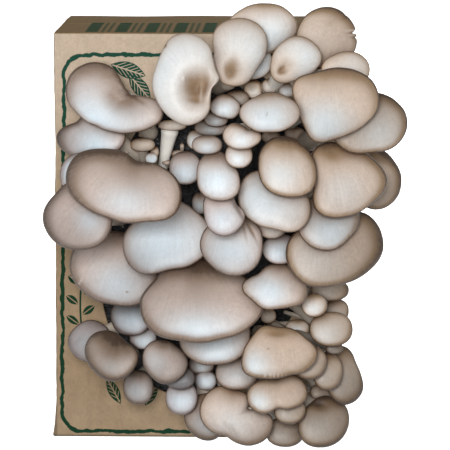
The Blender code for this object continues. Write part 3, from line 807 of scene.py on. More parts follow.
@dataclass(frozen=True)
class Growth:
    """Where a mushroom is and how its cap lies, with the cap's shape as a function of the place on it.

    The reach is either the half width and half height of an oval, or the distances from the centre to the rim
    at equal angles from the right side, anticlockwise.
    """

    name: str
    centre: Pair
    reach: tuple[float, ...]
    grip: Pair                  # where the stem meets the cap, from its centre
    root: Pair                  # x and z of the stem's foot
    out: float                  # least distance of the cap ahead of the carton
    tilt: float                 # how far the cap's upper edge leans back
    bouquet: str = ""           # mushrooms with the same word have grown together
    bowl: float = 0.0           # depth of the hollow over the stem, as a share of the radius
    flare: float = 0.3          # the stem is wider under the cap, by this share

    OVAL = 2.2                  # power of an oval cap's outline
    BULGE, DOME = 2.4, 0.6      # powers of the dome's outline
    FLAT, BUTTON = 0.31, 0.33   # height of a flat dome over its radius, and what a button has on top
    SMALL = 13.0                # radius of a button
    RIM_SHARE, RIM_LEAST = 0.09, 0.6        # thickness of the rim: share of the radius, and least
    STEM_SHARE, STEM_LEAST, STEM_MOST = 0.13, 2.3, 0.62     # radius of the stem, and its largest share
    SIDE_TURN, SIDE_MIDDLE = 0.0039, 20     # caps turn outwards, by this much a millimetre from here
    HOLLOW = 0.55               # of the gill side, as a share of the dome's height
    GILLS_DOWN = 0.3            # the gill side runs down the stem, by this share of the radius
    PULL = 0.4                  # handles of the stem's curve, as a share of its length
    ROLL_IN = 0.93              # the rolled rim ends at this share of the reach
    WINDOW_CLEAR = 1.8          # between a stem and the window's edge
    MOUTH_AHEAD = 3.0           # stems run straight through the window to here
    FOOT_AHEAD = -3.7
    JOIN_HIGHER, JOIN_STEP = 1.5, 0.7       # where the stems of a bouquet end in its largest one
    LEAST_RUN = 1.5             # least length of the curved part of a stem

    @cached_property
    def radius(self) -> float:
        """The radius of a disc as large as the cap."""
        return float(np.sqrt(np.mean(self.reach_at(circle(48)) ** 2)))

    @property
    def height(self) -> float:
        """Height of the dome: large caps are flat shells, small ones are round buttons."""
        return self.radius * (self.FLAT + self.BUTTON * math.exp(-(self.radius / self.SMALL) ** 2))

    @property
    def rim(self) -> float:
        """Thickness of the rim."""
        return self.RIM_SHARE * self.radius + self.RIM_LEAST

    @property
    def stem(self) -> float:
        """Radius of the stem."""
        return min(self.STEM_SHARE * self.radius + self.STEM_LEAST, self.STEM_MOST * self.radius)

    def reach_at(self, angle: Array) -> Array:
        """Distance from the cap's centre to its rim in the given directions.

        Args:
            angle: the directions, anticlockwise from the right.

        Returns:
            A distance for each direction.
        """
        if len(self.reach) == 2:
            wide, tall = self.reach
            power = np.abs(np.cos(angle) / wide) ** self.OVAL + np.abs(np.sin(angle) / tall) ** self.OVAL
            return power ** (-1 / self.OVAL)
        rays = np.array(self.reach)
        turn = np.asarray(angle) / math.tau % 1.0 * len(rays)
        step = np.floor(turn).astype(int)
        part = turn - step
        before, near, far, after = (rays[(step + k) % len(rays)] for k in (-1, 0, 1, 2))
        bend = 2 * before - 5 * near + 4 * far - after + part * (3 * (near - far) + after - before)
        return near + 0.5 * part * (far - before + part * bend)

    def surfaces(self, flat: Array, share: Array | None = None) -> tuple[Array, Array]:
        """Heights of the upper side and the gill side over the rim's centre.

        Args:
            flat: offsets from the cap's centre, in rows.
            share: how far out each one is, from 0 to 1 at the rim, where that is known.

        Returns:
            The two heights.
        """
        across, up = np.asarray(flat, float).T
        if share is None:
            share = np.hypot(across, up) / self.reach_at(np.arctan2(up, across))
        inside = np.clip(share, 0, 1)
        plane = -self.SIDE_TURN * (self.centre[0] - self.SIDE_MIDDLE) * across - self.tilt * up
        away = (across - self.grip[0]) ** 2 + (up - self.grip[1]) ** 2
        bowl = self.bowl * self.radius * np.exp(-away / (self.radius / 2) ** 2) * (1 - inside ** 2)
        top = plane + self.height * (1 - inside ** self.BULGE) ** self.DOME - bowl
        hollow = self.HOLLOW * self.height * (1 - (inside / self.ROLL_IN) ** 2)
        return top, plane - self.rim + hollow - bowl

    def spots(self) -> Array:
        """Offsets from the centre that cover the cap.

        Returns:
            The offsets in rows, with the centre first.
        """
        angle = circle(24)
        rim = ways(angle) * self.reach_at(angle)[:, None]
        flat = rim * np.linspace(1 / 7, 1, 7)[:, None, None]
        return np.vstack([[0.0, 0.0], flat.reshape(-1, 2)])

    def foot(self) -> Pair:
        """Where the stem meets the block, moved in from the window's edge if the stem would touch it."""
        over = max(1.0, in_window(self.root, -self.stem - self.WINDOW_CLEAR))
        return tuple(WINDOW_AT + (np.array(self.root) - WINDOW_AT) / over)

    def path(self, ahead: float, place: int) -> tuple[Vector, ...]:
        """The four points of the stem's curve down to the window, as x, z and distance ahead.

        Args:
            ahead: how far ahead the cap lies.
            place: its place in its bouquet.

        Returns:
            The start under the cap, the curve's two handles and its end.
        """
        grip = np.array(self.grip)
        start_height = float(self.surfaces([grip])[1][0]) - self.GILLS_DOWN * self.radius + ahead
        mouth = self.MOUTH_AHEAD + (self.JOIN_HIGHER if place else 0) - self.JOIN_STEP * place
        start = Vector((*(np.array(self.centre) + grip), max(start_height, mouth + self.LEAST_RUN)))
        end = Vector((*self.foot(), mouth))
        pull = Vector((0, 0, self.PULL * (start.z - end.z)))
        return start, start - pull, end + pull, end


@dataclass(frozen=True)
class Skin:
    """The colours of a cap: a pale patch with its middle and size, partly the skin's own paleness and partly
    a painted highlight; how brown it is about the place that its threads come from and along its upper edge,
    there partly painted shade; how bluish or warm it is, partly its own hue and partly a painted tint of the
    light; that place;
    and how dark its margin is, partly its own colour and partly painted shade. Places and sizes are shares of
    the radius. The threads meet beyond their place, by the share "beyond", and the stem is as white as
    "flesh" says, with painted shade on it where that is low."""

    pale: float = 0.85
    pale_and_highlight_spot: Pair = (-0.05, -0.22)
    size: float | Pair = 0.72
    brown: float = 0.55
    cool_hue_and_painted_tint: float | None = None
    focus: Pair | None = None
    rim: float = 1.0
    beyond: float = 1.6
    flesh: float = 0.3


@dataclass(frozen=True)
class Mark:
    """A dent, furrow or stain in a cap, from its centre in millimetres; a depth under 0 is a ridge, and a cut
    draws the rim in. Its brown is partly a stain and partly painted shade in a dent, or painted light on a
    ridge, where it is under 0."""

    at: Pair
    long: float
    wide: float
    turn: float = 0.0
    depth: float = 0.8
    brown: float = 0.35
    cut: float = 0.0

    def press(self, flat: Array) -> Array:
        """How deep in the mark each place is, from 0 to 1.

        Args:
            flat: offsets from the cap's centre, in rows.

        Returns:
            A share for each place.
        """
        across, up = (np.asarray(flat) - self.at).T
        cos, sin = math.cos(math.radians(self.turn)), math.sin(math.radians(self.turn))
        along, beside = across * cos + up * sin, up * cos - across * sin
        return np.exp(-(along / self.long) ** 2 - (beside / self.wide) ** 2)


# From the rearmost cap to the foremost: name, centre, reach, grip, root, out, tilt, bouquet, bowl and flare.
GROWTHS = tuple(Growth(*row) for row in (
    ("left_wing", (-63.5, 189), (21, 19, 18, 13.5, 22, 17, 11, 16), (16, -2), (-36, 177), 8, 0.45),
    ("left_fan", (-50.5, 211), (28.5, 13.5, 11.5, 12, 15, 21, 25.5, 29, 31, 30.5, 28, 23.5, 21, 18.5, 18.5,
     19, 21, 23.5, 28, 32), (7, 3), (-28, 192), 10, 0.35, "", 0.3),
    ("left_sliver", (-68, 165.5), (15.5, 14), (4, -2), (-48, 156), 6, 0.4),
    ("far_right_low", (111.5, 163), (16, 16.5, 20, 18.5, 17, 17, 18.5, 17.5), (-8, 5), (66, 155), 12, 0.45),
    ("split_cap", (81, 252), (18.5, 17.5, 18, 18, 19, 22, 20.5, 20), (-9, -14), (46, 217), 14, 0.15, "split"),
    ("behind_crown", (93, 232.5), (14.5, 12, 10, 11, 15.5, 14, 12, 14.5), (-12, -4), (46, 217), 12, 0.2,
     "split"),
    ("bud_funnel", (36, 219), (6, 6), (-1, 2), (31, 223), 8, 0.2, "top", 0.3),
    ("top_rim", (34, 236), (13.5, 11), (0, -6), (31, 225), 8, 0.3, "top"),
    ("top_back", (43, 256.5), (20, 17.5, 15.5, 18, 23.5, 20, 16, 15), (-4, -10), (31, 225), 10, 0.15, "top"),
    ("bud_c", (46, 220.5), (5.5, 5), (-1, -1), (46, 217), 6, 0.2, "split"),
    ("bud_d", (57.5, 219), (5, 4.5), (-2, -1), (46, 217), 10, 0.2, "split"),
    ("top_white", (62, 237.5), (16, 15, 14.5, 13.5, 15, 18.5, 13, 12.5), (-8, -7), (46, 217), 18, 0.2,
     "split", 0.18),
    ("neck_brown", (26, 213.5), (7.5, 5), (-1, 0), (18, 205), 4, 0.3, "necks"),
    ("top_oval", (28, 241.5), (16, 20, 21.5, 21, 16.5, 21.5, 20.5, 14.5), (-7, -17), (14, 220), 18, 0.25, "",
     0.22),
    ("mid_back", (-6, 170), (10, 10.5), (-1, 2), (-6, 175), 8, 0.4),
    ("mid_edge", (0, 187.5), (5, 6), (0, 0), (4, 184), 4, 0.3, "mids"),
    ("neck_rim", (10, 195), (10.5, 5), (1, 1), (14, 201), 13, 0.3, "necks"),
    ("neck_low", (13, 200.5), (7.5, 5), (0, 1), (15, 202), 6, 0.3, "necks"),
    ("neck_white", (18, 208), (10, 8.5, 8, 8, 9, 7.5, 7, 9.5), (-1, 1), (17, 205), 10, 0.3, "necks"),
    ("mid_slip", (3, 148), (5, 7), (0, 0), (3, 146), 4, 0.3),
    ("stalked", (-14, 196.5), (9, 3.4), (-1, -1), (-20, 170), 14, 0.2, "", 0, 1.25),
    ("big_white", (-6.5, 225), (21.5, 20.5, 22, 26, 28, 28.5, 27, 22.5, 20, 19, 19.5, 20.5, 21.5, 23.5, 26,
     28.5, 28, 25.5, 20, 18), (10, -8), (4, 212), 16, 0.25, "", 0.32),
    ("low_left_pale", (-65.5, 60.5), (14, 14, 14, 13, 14, 13, 13, 13.5), (7, 5), (-47, 71), 7, 0.45),
    ("low_left_back", (-35.5, 32), (9.5, 11), (1, 6), (-31, 42), 12, 0.35),
    ("slot_small", (-32.5, 63), (8.5, 7), (-1, 7), (-36, 76), 8, 0.4, "slots"),
    ("slot_white", (-40, 77), (12.5, 12.5), (-2, 4), (-37, 78), 6, 0.4, "slots"),
    ("left_low_shell", (-51.5, 106), (28.5, 26.5, 24.5, 27, 26.5, 22.5, 22, 28), (10, 9), (-38, 115), 10,
     0.55, "", 0.05),
    ("left_shell", (-72.5, 139.5), (21.5, 23, 23.5, 20, 22, 22, 21, 22.5), (15, 0), (-46, 139), 10, 0.5),
    ("low_left_dark", (-52, 52.5), (16.5, 12.5, 15, 17.5, 17, 15.5, 17, 16.5), (6, 4), (-40, 52), 10, 0.45),
    ("low_mid_b", (6.5, 37), (7, 7), (0, 0), (4, 41), 6, 0.4, "lows"),
    ("low_mid_a", (4, 47), (8, 7), (0, 1), (4, 41), 6, 0.4, "lows"),
    ("foot_under", (10.5, 14), (8, 10, 14, 16.5, 17.5, 17, 15.5, 11), (-4, 9), (4, 41), 24, 0.4, "lows"),
    ("foot_blue", (-8.5, 25.5), (10, 11), (0, 4), (-7, 34), 6, 0.35),
    ("foot_grey", (-9.5, 38), (9.5, 7.5), (0, 5), (-11, 48), 5, 0.35),
    ("low_pair", (-19, 48.5), (14.5, 12.5, 13.5, 15, 14, 13, 14.5, 14.5), (2, 7), (-17, 57), 10, 0.45),
    ("foot_low", (56, 4), (12, 9.5), (1, 5), (27, 41), 26, 0.4, "foots"),
    ("foot_shell", (25.5, 14), (22, 9, 15, 17, 22, 23.5, 22.5, 19, 14.5, 17, 21.5, 24), (0, 7), (17, 38), 20,
     0.4),
    ("foot_back", (26, 41.5), (13.5, 11), (-1, 6), (23, 55), 8, 0.45),
    ("low_white", (13.5, 61.5), (20.5, 23, 18.5, 20, 23.5, 19, 15, 17), (-1, 5), (12, 69), 12, 0.5),
    ("foot_right", (81, 10), (15, 17, 17.5, 15.5, 17, 18, 15.5, 14.5), (-6, 10), (28, 41), 26, 0.4, "foots",
     0.15),
    ("foot_mid", (59, 18), (10, 9), (0, 4), (27, 41), 18, 0.4, "foots"),
    ("low_right_dark", (51, 27.5), (19, 17.5, 10.5, 14, 19, 16.5, 8.5, 12.5), (-4, 6), (37, 51), 14, 0.45),
    ("side_tall", (92, 40.5), (11.5, 11.5, 18.5, 18, 14, 14, 19, 16.5), (-3, 8), (49, 71), 14, 0.4,
     "sides_low"),
    ("side_top", (88, 81), (7.5, 7.5), (-2, 2), (58, 88), 14, 0.4, "sides"),
    ("side_rim", (83.5, 94), (12, 7), (-5, 1), (59, 90), 14, 0.4, "sides"),
    ("side_slip", (63.5, 70), (7.5, 5.5), (0, 1), (49, 71), 10, 0.4, "sides_low"),
    ("bud_low", (45.5, 77.5), (5, 5), (0, 0), (44, 79), 6, 0.3),
    ("heart_big", (3, 85.5), (40, 33, 28, 28.5, 35, 31.5, 37.5, 35.5, 27.5, 25.5, 26.5, 33.5), (-1, 17),
     (2, 105), 18, 0.6, "", 0.12),
    ("centre_pale", (-17, 126), (28, 24.5, 24.5, 21, 27.5, 29, 20, 22.5), (0, 10), (-18, 136), 18, 0.6, "",
     0.08),
    ("left_bean", (-44, 159), (35, 25.5, 17.5, 21, 26.5, 35.5, 35.5, 28, 23, 23.5, 26.5, 36), (12, 8),
     (-29, 162), 12, 0.55, "", 0.12),
    ("bud_side", (75, 30), (3.3, 3.3), (-1, 1), (28, 41), 14, 0.3, "foots"),
    ("side_mid", (82.5, 42.5), (9.5, 12), (-1, 4), (49, 71), 16, 0.4, "sides_low"),
    ("side_in", (71.5, 48.5), (10.5, 11), (-1, 4), (49, 71), 14, 0.4, "sides_low"),
    ("side_bud", (86.5, 57.5), (5.5, 4), (-1, 1), (49, 71), 14, 0.3, "sides_low"),
    ("side_high", (84.5, 69.5), (13.5, 11), (-6, 3), (58, 88), 14, 0.4, "sides"),
    ("low_right_brown", (51.5, 54), (25, 20, 18, 17, 20, 19.5, 22, 24.5, 18.5, 16, 16, 21.5), (-7, 11),
     (40, 67), 16, 0.5, "", 0.08),
    ("side_top_in", (74, 84.5), (8, 7.5), (-1, 1), (59, 89), 14, 0.4, "sides"),
    ("heart_side", (51.5, 96.5), (18, 13.5, 14.5, 14, 14.5, 15, 22.5, 18.5, 17, 14.5, 15.5, 19), (-6, 7),
     (44, 101), 12, 0.55),
    ("under_white_low", (52.5, 120.5), (11, 10, 8, 9, 11, 11, 10.5, 11), (0, 4), (51, 122), 8, 0.4),
    ("right_brown", (86.5, 121), (30, 29, 20, 22, 30, 30.5, 24.5, 25), (-12, 8), (64, 124), 16, 0.5),
    ("right_pale", (83.5, 136.5), (18, 20.5, 19.5, 19.5, 20.5, 19.5, 17.5, 15.5), (-5, 14), (62, 142), 18,
     0.5),
    ("right_mid", (94.5, 162.5), (24, 20.5, 22.5, 28.5, 21, 27, 22.5, 20.5), (-14, 15), (64, 170), 18, 0.5,
     "", 0.12),
    ("under_white", (47, 133), (10, 9.5, 9.5, 12.5, 9.5, 7.5, 7, 8), (-1, 5), (45, 140), 8, 0.4),
    ("centre_folded", (24, 121), (18, 20, 20, 20.5, 21, 18.5, 18.5, 18.5), (0, 7), (24, 125), 14, 0.55),
    ("centre_white", (49.5, 148.5), (22, 16, 19, 24.5, 22.5, 18, 16.5, 23), (-11, 12), (38, 159), 14, 0.5),
    ("right_oval", (57, 171), (18, 16.5, 19, 20, 18, 19, 19, 21), (-1, 12), (49, 180), 18, 0.5),
    ("far_right", (109, 199), (22, 19.5, 19, 23.5, 27.5, 24.5, 19, 21), (-14, 0), (64, 185), 16, 0.4),
    ("crown_right", (86, 209), (27, 28, 25.5, 23.5, 24, 29, 24, 23, 25.5, 21, 20, 22.5), (-17, 0), (57, 199),
     22, 0.45),
    ("mid_fold", (18.5, 141), (12.5, 10, 16.5, 16.5, 13, 13.5, 13.5, 12.5), (-2, 4), (17, 145), 10, 0.4, "",
     0.1),
    ("mid_round", (14, 165), (13.5, 12, 16, 15, 13, 14.5, 15.5, 16.5), (-2, 3), (12, 166), 10, 0.4),
    ("mid_small", (27, 178), (8.5, 8), (3, 1), (31, 179), 6, 0.3),
    ("mid_brown", (29, 190), (12, 6, 7, 10.5, 12, 10, 8.5, 9.5), (1, 4), (30, 193), 14, 0.4),
    ("crown_small", (46, 205), (19, 14, 12.5, 13, 18.5, 15.5, 12.5, 15), (-3, 2), (39, 206), 22, 0.4, "",
     0.05),
    ("mid_top", (7.5, 184.5), (9.5, 6), (-1, 2), (6, 184), 8, 0.3, "mids"),
))

# Small mushrooms that have just begun, deep between the others.
PINS = tuple(Growth(*row) for row in (
    ("pin_mid", (6.6, 36.4), (6.6, 6.2), (0, 1), (6, 41), 15, 0.4),
    ("pin_side", (78, 29.5), (6.5, 5.5), (0, 1), (66, 41), 18, 0.4),
    ("pin_high", (-30.8, 190.7), (4.3, 2.3), (0, -1), (-29, 184), 3, 0.3),
    ("pin_edge", (-44, 180), (3.2, 2.2), (0, -1), (-38, 178), 12, 0.3),
    ("pin_tan", (-32.5, 184.3), (8, 4.3), (0, -1.5), (-31, 174), 13, 0.1),
    ("pin_brown", (-25, 180), (2.8, 3.7), (0, -1), (-25, 173), 11, 0.3),
    ("pin_cut", (-27, 176), (3.8, 3.4), (0, -1), (-26, 171), 15, 0.6),
    ("pin_pink", (-10.2, 178.7), (4.6, 2.5), (0, -1), (-11, 174), 6, 0.3),
    ("pin_small", (-17.6, 173.4), (2.9, 1.7), (0, -1), (-17, 171), 8, 0.3),
    ("pin_dot", (-8, 183.7), (1.4, 1.9), (0, -1), (-8, 180), 2, 0.3),
    ("pin_right", (61.5, 191.5), (6.4, 4.3), (0, -1), (55, 186), 10, 0.3),
    ("pin_gap", (47, 189.5), (6, 4.2), (0, -1), (46, 184), 8, 0.3),
    ("pin_top_a", (46.3, 221), (5.2, 4.8), (0, -1), (45, 212), 15, 0.3),
    ("pin_top_b", (56.5, 218.5), (5, 4.6), (0, -1), (53, 210), 17, 0.3),
    ("pin_grey", (71.5, 183.4), (3.2, 2.8), (-1, -1), (63, 180), 3, 0.3),
    ("pin_low", (69.5, 76.4), (2.8, 1.4), (-1, 0), (56, 80), 5, 0.3),
))

# The rows of a skin's fields in order; a cap without a row has the usual skin.
SKINS = {name: Skin(*row) for name, row in {
    **dict.fromkeys(("side_rim", "bud_side", "foot_low", "foot_mid", "side_top", "side_bud", "side_in",
                     "side_mid", "side_tall"), (0.35, (-0.3, -0.1), 0.8, 0.45, -0.8, None, 1.5)),
    "pin_side": (0.2, (0, 0), 0.9, 0.6, -0.7, None, 1.4),
    "pin_mid": (1, (0, 0), 1.2, 0.15, 0.7, None, 0.6),
    "side_high": (0.6, (-0.3, -0.2), 0.8, 0.4, -0.4, None, 1.4),
    "mid_edge": (1, (0, 0), 1.2, 0.2, 0, None, 0.7),
    "left_sliver": (1, (0, 0), 1.4, 0.2, 0.8, None, 0.9),
    "big_white": (1, (-0.1, 0), 1.8, 0.15, -0.15, (0.42, -0.25), 0.35, 1),
    "top_oval": (1, (0.1, -0.2), 1.1, 0.2, -0.15, (-0.25, -0.62), 0.45, 1),
    "top_white": (1, (0.1, -0.1), 1.1, 0.3, -0.15, (-0.5, -0.35), 0.5, 1, 0.8),
    "top_back": (1, (0.15, -0.2), 0.9, 0.25, -0.1, (0, 1.1), 0.7),
    "split_cap": (0.15, (-0.1, -0.1), 0.9, 0.25, -0.3, (0.6, 0.9), 1.6),
    "behind_crown": (0.5, (0.1, 0), 1, 0.25, -0.4, None, 0.8),
    "crown_right": (1, (-0.25, -0.5), 0.65, 0.42, -0.1, (-0.1, 1.1), 0.85, 1.6, 0.9),
    "crown_small": (1, (-0.1, -0.2), 0.95, 0.4, 0.15, None, 0.7),
    "far_right_low": (0.2, (-0.2, 0.1), 0.7, 0.5, -0.3, (-0.2, 1), 1.8),
    "far_right": (0.6, (0.2, -0.35), 0.7, 0.6, -0.25, (-0.2, 1.1), 1.1),
    "left_fan": (1, (-0.45, -0.5), (1.25, 0.85), 0.8, 0.42, (0.42, 0.42), 0.55),
    "top_rim": (1, (0.2, 0), 1.4, 0.15, 0, None, 0.5),
    "bud_funnel": (0.6, (0.1, -0.3), 0.7, 0.6, -0.8),
    "neck_brown": (0.5, (0.1, -0.3), 0.7, 0.55, -0.6),
    "left_wing": (1, (0.1, -0.3), 0.75, 0.55, 0.6, (0.5, 1), 1.4),
    "left_bean": (0.62, (0.05, -0.35), (0.6, 0.42), 0.85, 0.4, (0.22, 0.75), 0.95),
    "left_shell": (0.75, (0.35, -0.05), 0.42, 0.55, 0.55, (0.6, 0.8), 1.5),
    "left_low_shell": (0.75, (0.15, -0.35), 0.6, 0.6, 0.5, (0.35, 1)),
    "centre_pale": (1, (-0.1, -0.05), 1.1, 0.15, 0.5, (0.1, 1.15), 0.9),
    "heart_big": (0.9, (-0.05, -0.6), (0.75, 0.45), 0.85, 0.4, (-0.05, 0.95), 0.9),
    "heart_side": (1, (-0.35, -0.2), 0.72, 0.45, 0.3, (0.2, 1)),
    "centre_folded": (0.95, (-0.1, 0), 0.8, 0.45, 0.45),
    "centre_white": (1, (-0.35, 0.1), (1.15, 0.95), 0.3, 0.15, (0.5, 0.8), 0.7),
    "right_pale": (0.95, (0, -0.25), 0.8, 0.4, 0.2),
    "right_mid": (0.45, (-0.15, -0.25), 0.62, 0.4, -0.05, (-0.35, 1), 1.3),
    "right_brown": (0.4, (-0.5, -0.25), 0.7, 0.5, -0.2, (-0.1, 1), 1.5),
    "right_oval": (0.75, (-0.25, -0.25), 0.65, 0.5, -0.1, None, 1.2),
    **dict.fromkeys(("slot_white", "slot_small"), (1, (0, -0.1), 0.9, 0.4, 0.9)),
    "low_left_dark": (0.35, (0, -0.45), 0.5, 1, 0.25, (0.15, 0.5), 1.2),
    "low_left_pale": (0.45, (-0.1, -0.1), 0.7, 0.4, 0.8),
    "low_left_back": (0.6, (-0.1, -0.2), 0.7, 0.6, 0.45),
    "low_pair": (0.45, (-0.4, 0), 0.6, 0.6, 0.4),
    "low_right_brown": (0.95, (-0.8, -0.4), 0.55, 0.42, -0.1, (0.1, 0.9), 1.2),
    "low_right_dark": (0.9, (-0.8, -0.3), 0.5, 0.5, -0.1, None, 1.35),
    "low_white": (1, (0, -0.3), 0.8, 0.4, 0.35),
    "foot_shell": (0.45, (-0.1, -0.1), 0.8, 0.35, 0.15, (0, 0.9)),
    "foot_back": (0.6, (-0.1, -0.1), 0.8, 0.45, 0.3),
    "foot_right": (0.35, (-0.3, -0.1), 0.7, 0.6, -0.7, (-0.2, 0.95), 1.5),
    "foot_blue": (0.95, (0, -0.1), 0.8, 0.3, 0.9),
    "foot_grey": (0.6, (0, -0.1), 0.8, 0.45, 0.8),
    "mid_fold": (0.7, (-0.1, -0.2), 0.7, 0.45, 0.7),
    "mid_round": (1, (-0.1, -0.15), 0.85, 0.35, 0.4),
    "mid_back": (0.95, (0, -0.3), 0.8, 0.45, 0.6),
    "neck_white": (1, (0, -0.1), 0.9, 0.25, 0.3),
    "stalked": (0.3, (0, 0), 1.2, 0.5, -0.3, None, 0.8, 1.6, 1),
    "under_white": (0.35, (0, -0.2), 0.8, 0.35, -0.1, None, 0.9),
    "under_white_low": (1, (0, -0.2), 0.9, 0.3, 0.6),
    "bud_low": (0.4, (0, 0), 0.9, 0.4, -1),
    "pin_high": (0.1, (0, 0), 0.9, 0.8, -1),
    "pin_edge": (0.2, (0, 0), 0.9, 0.6, -0.5),
    "pin_tan": (0.35, (0, -0.1), 0.9, 0.45, -1),
    "pin_brown": (0.1, (-0.4, 0), 0.9, 0.7, -0.3),
    "pin_cut": (1, (0, 0), 2, 0, 0.3),
    "pin_pink": (0.5, (0, 0), 0.9, 0.3, -0.3),
    "pin_small": (0.3, (0, 0), 0.9, 0.6, -0.3),
    "pin_grey": (0.2, (0, 0), 0.9, 0.5, 0.6),
    **dict.fromkeys(("pin_right", "pin_gap"), (0.1, (0, 0), 0.9, 0.9, -0.4)),
    **dict.fromkeys(("pin_dot", "pin_low"), (0.35, (0, 0), 1, 0.4, -0.6)),
    "pin_top_a": (0.6, (0, 0), 0.9, 0.45, -0.2),
    "pin_top_b": (0.9, (0, 0), 0.9, 0.3, 0.1),
}.items()}

# How light a cap's skin is, partly its own lightness and partly painted light and shade, and how much lighter
# it is towards its right and its upper edge, a painted gradient of light and shade, where it is.
TONES_AND_PAINTED_LIGHT = {
    "centre_white": (1.08,), "pin_side": (0.75,), "pin_mid": (1.15,), "pin_tan": (0.95, 0, -0.2),
    "pin_cut": (1.35,), "bud_funnel": (1.75,), "left_wing": (1.1, 0.25, 0.1),
    "left_fan": (1.35, -0.12, -0.12), "left_sliver": (1.25,), "far_right_low": (0.95, -0.1, 0.2),
    "split_cap": (1, -0.05, 0.1), "behind_crown": (1.65,), "top_rim": (1.9,), "top_back": (1.2, 0, 0.2),
    "bud_c": (1.6,), "bud_d": (2.2,), "top_white": (1.15,), "neck_brown": (0.7,), "top_oval": (1.1,),
    "mid_back": (2,), "mid_edge": (1.3,), "neck_rim": (0.75,), "neck_low": (0.75,), "neck_white": (1.2,),
    "stalked": (1.15,), "big_white": (1.15,), "low_left_pale": (0.75, 0.1, 0.1), "low_left_back": (0.6,),
    "slot_small": (1.15,), "slot_white": (0.58, 0, -0.8), "left_low_shell": (1.08, -0.15, 0.35),
    "left_shell": (1, 0.05, 0.3), "low_left_dark": (0.72, 0, 0.1), "low_mid_b": (1.35,),
    "foot_under": (0.78, 0, 0.4), "foot_grey": (0.3,), "low_pair": (0.8, -0.2, 0.3),
    "foot_low": (0.58, 0, 0.1), "foot_shell": (1.06, 0, 0.5), "foot_back": (0.85, 0, -0.2),
    "low_white": (1, 0.2, 0), "foot_right": (0.6, -0.15, 0.1), "foot_mid": (0.8, 0, 0.1),
    "low_right_dark": (1.02, 0, 0.1), "side_tall": (0.64, -0.1, 0.25), "side_top": (0.8,),
    "side_rim": (0.85,), "side_slip": (1.85,), "bud_low": (1.75,), "heart_big": (1.05, 0.1, 0),
    "centre_pale": (1.2, 0.1, 0.5), "left_bean": (1.12, 0, -0.05), "bud_side": (0.6,),
    "side_mid": (0.85, 0, 0.2), "side_in": (0.95, -0.1, 0.2), "side_bud": (0.4,), "side_high": (0.95,),
    "low_right_brown": (1.1, 0, 0.3), "side_top_in": (1.3,), "heart_side": (1.15, 0.1, 0),
    "under_white_low": (0.95, 0, -0.3), "right_brown": (0.88, -0.2, 0.2), "right_pale": (0.85, 0, -0.1),
    "right_mid": (1.12, 0, 0.15), "centre_folded": (1.12, 0.2, 0.35), "right_oval": (1.13, 0, 0.05),
    "far_right": (0.8, 0.15, -0.2), "crown_right": (1.1, 0.15, 0.35), "mid_fold": (1.35,),
    "mid_round": (1.16, 0.1, 0), "mid_small": (1.2,), "mid_brown": (1.15,), "mid_top": (0.85,),
}

